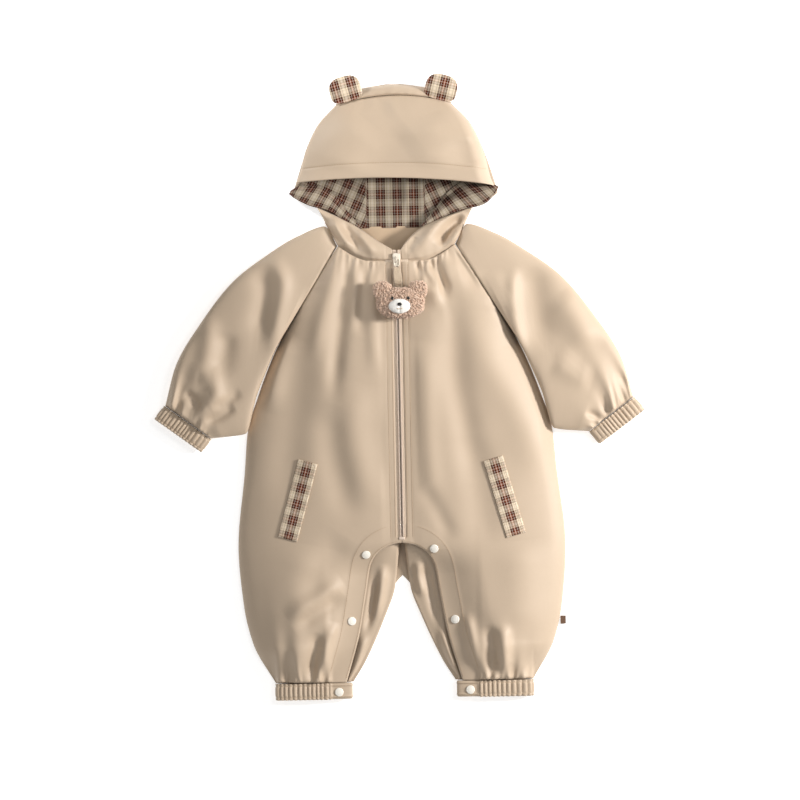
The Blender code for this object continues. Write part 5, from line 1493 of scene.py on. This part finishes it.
back()
looks = {}
for side, label in SIDES:
    inseam_cloth(side, label)
    panel = front_panel(side, label)
    looks[side] = surface_of(panel)
    sleeve(side, label)

    def calm_leg(across):
        x = (ANKLE_HALF + BACK_HEM_IN) / 2 + across * (ANKLE_HALF - BACK_HEM_IN) / 2
        return ease(x, BACK_HEM_IN + 24.0, BACK_HEM_IN + 30.0)

    def calm_wrist(across):
        return mix(0.35, 1.0, ease(across, -0.75, -0.35)) if side > 0 else 1.0 + 0 * across

    leg = casing(f"leg_band_{label}", side, LEG_CUFF, 34, calm_leg, 0.8, SHELL, (250, 44), [f"leg_cuff_{label}"], folded)
    casing(f"leg_band_elastic_{label}", side, LEG_CUFF, 34, calm_leg, 0.9, ELASTIC, (210, 16), [f"leg_elastic_{label}"],
           single, 0.25, 140)
    wrist = casing(f"wrist_band_{label}", side, WRIST_CUFF, 30, calm_wrist, 0.8, SHELL, (190, 44),
                   [f"sleeve_cuff_{label}"], folded)
    casing(f"wrist_band_elastic_{label}", side, WRIST_CUFF, 30, calm_wrist, 0.9, ELASTIC, (160, 16),
           [f"sleeve_elastic_{label}"], single, 0.25, 140)
    welt_piece = welt(side, label, looks[side])
    bag(side, label)
    leg_look = surface_of(leg)
    snaps(side, label, looks[side], leg_look)
    collar(side, label)
    lip(side, label)
    coil(side, label)
    tape(side, label)
    ear(side, label)
    # topstitching
    rows = []
    zip_rows = np.linspace(NECK_Y - 4.0, CROTCH_Y + 6.0, 60)
    for x in (7.6, 13.4):
        rows.append([(side * x, y) for y in zip_rows])
    arch = offset_line(INSEAM, 22.5)
    rows += [mirrored_line(line, side) for line in (arch[4:-2], offset_line(INSEAM, 2.2)[2:-1])]
    stitches(f"placket_stitches_{label}", rows, looks[side], "suit")
    a, b = WELT_WIDE / 2 - 2.2, WELT_LONG / 2 - 2.2
    turn = math.radians(WELT_TILT)
    frame_line = [(-a, -b), (a, -b), (a, b), (-a, b), (-a, -b)]
    frame_line = [(WELT[0] + p * math.cos(turn) - q * math.sin(turn), WELT[1] + p * math.sin(turn) + q * math.cos(turn))
                  for p, q in frame_line]
    stitches(f"welt_stitches_{label}", [mirrored_line(frame_line, side)], surface_of(welt_piece), "suit")
    spans = np.linspace(BACK_HEM_IN + 3.0, ANKLE_HALF - 3.0, 60)
    rows = [[(side * x, LEG_END_Y - SEAM_GAP - d) for x in spans] for d in (2.2, 16.0)]
    stitches(f"leg_band_stitches_{label}", rows, leg_look, "suit")
    rows = []
    for d in (2.2, 16.0):
        cx, cy = wrist_frame(d)
        rows.append([(side * (cx + s * ACROSS[0]), cy + s * ACROSS[1]) for s in np.linspace(-32.0, 32.0, 40)])
    stitches(f"wrist_band_stitches_{label}", rows, surface_of(wrist), f"{label}_sleeve")

dome = hood_front()
hood_lining_front()
hood_crown()
hood_back()
hood_lining_back()
brim = [(s * hood_x(HOOD_BRIM_Y + 18.0), HOOD_BRIM_Y + 18.3 + 7.6 * (1 - s * s) - BRIM_TILT * s * 0.7)
        for s in np.linspace(-0.97, 0.97, 120)]
stitches("brim_stitches", [brim], surface_of(dome), "hood")

us, vs = np.linspace(0.0, 1.0, 40), np.linspace(0.0, 1.0, 30)
cloth("neck_facing_cloth", us, vs,
      lambda u, v: (mix(-44.0, 44.0, u), mix(134.0, BACK_NECK_Y + 4.0, v),
                    2.5 + 0.35 * (1 + wander(u * 88, v * 57, 40.0, 2))),
      stretch(us, vs, 88, 57), FACING, ["neck_facing"], wall=0.7)

bm = bmesh.new()
bmesh.ops.create_cube(bm, size=1.0, matrix=Matrix.Translation(Vector((0, CROTCH_Y + 5.7, 26.2)) * MM)
                      @ Matrix.Diagonal((7.2 * MM, 3.6 * MM, 2.4 * MM, 1.0)))
bmesh.ops.bevel(bm, geom=list(bm.edges), offset=0.7 * MM, segments=4, profile=0.5, affect="EDGES", material=-1)
for face in bm.faces:
    face.smooth = True
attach(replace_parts(finished("bottom_stop", bm, COIL), "zip_bottom_stop"), "suit")

slider_and_pull()
ribbon()
bear()

label_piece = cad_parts["side_label"]
label_piece.data.materials.clear()
label_piece.data.materials.append(LABEL)

# ---------------------------------------------------------------- what moves with what

RIDES = {
    "suit": ["front_left", "front_right", "back", "inseam_left", "inseam_right", "leg_band_left", "leg_band_right",
             "leg_band_elastic_left", "leg_band_elastic_right", "welt_left", "welt_right", "bag_left", "bag_right",
             "tape_left", "tape_right", "neck_facing_cloth"],
    "hood": ["hood_dome", "hood_lining_top", "crown", "hood_lining_rear", "lip_left", "lip_right"],
    "left_sleeve": ["wrist_band_left", "wrist_band_elastic_left"],
    "right_sleeve": ["wrist_band_right", "wrist_band_elastic_right"],
}
for body, names in RIDES.items():
    for name in names:
        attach(bpy.data.objects[name], body)
for side, label in SIDES:
    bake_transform(bpy.data.objects[f"sleeve_{label}_cloth"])
    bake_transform(bpy.data.objects[f"collar_{label}_cloth"])

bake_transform(bpy.data.objects["hood_back_cloth"])

floor_bm = bmesh.new()
bmesh.ops.create_grid(floor_bm, x_segments=1, y_segments=1, size=3.0)
floor = finished("floor", floor_bm, FLOOR)
floor.location.z = -0.0002
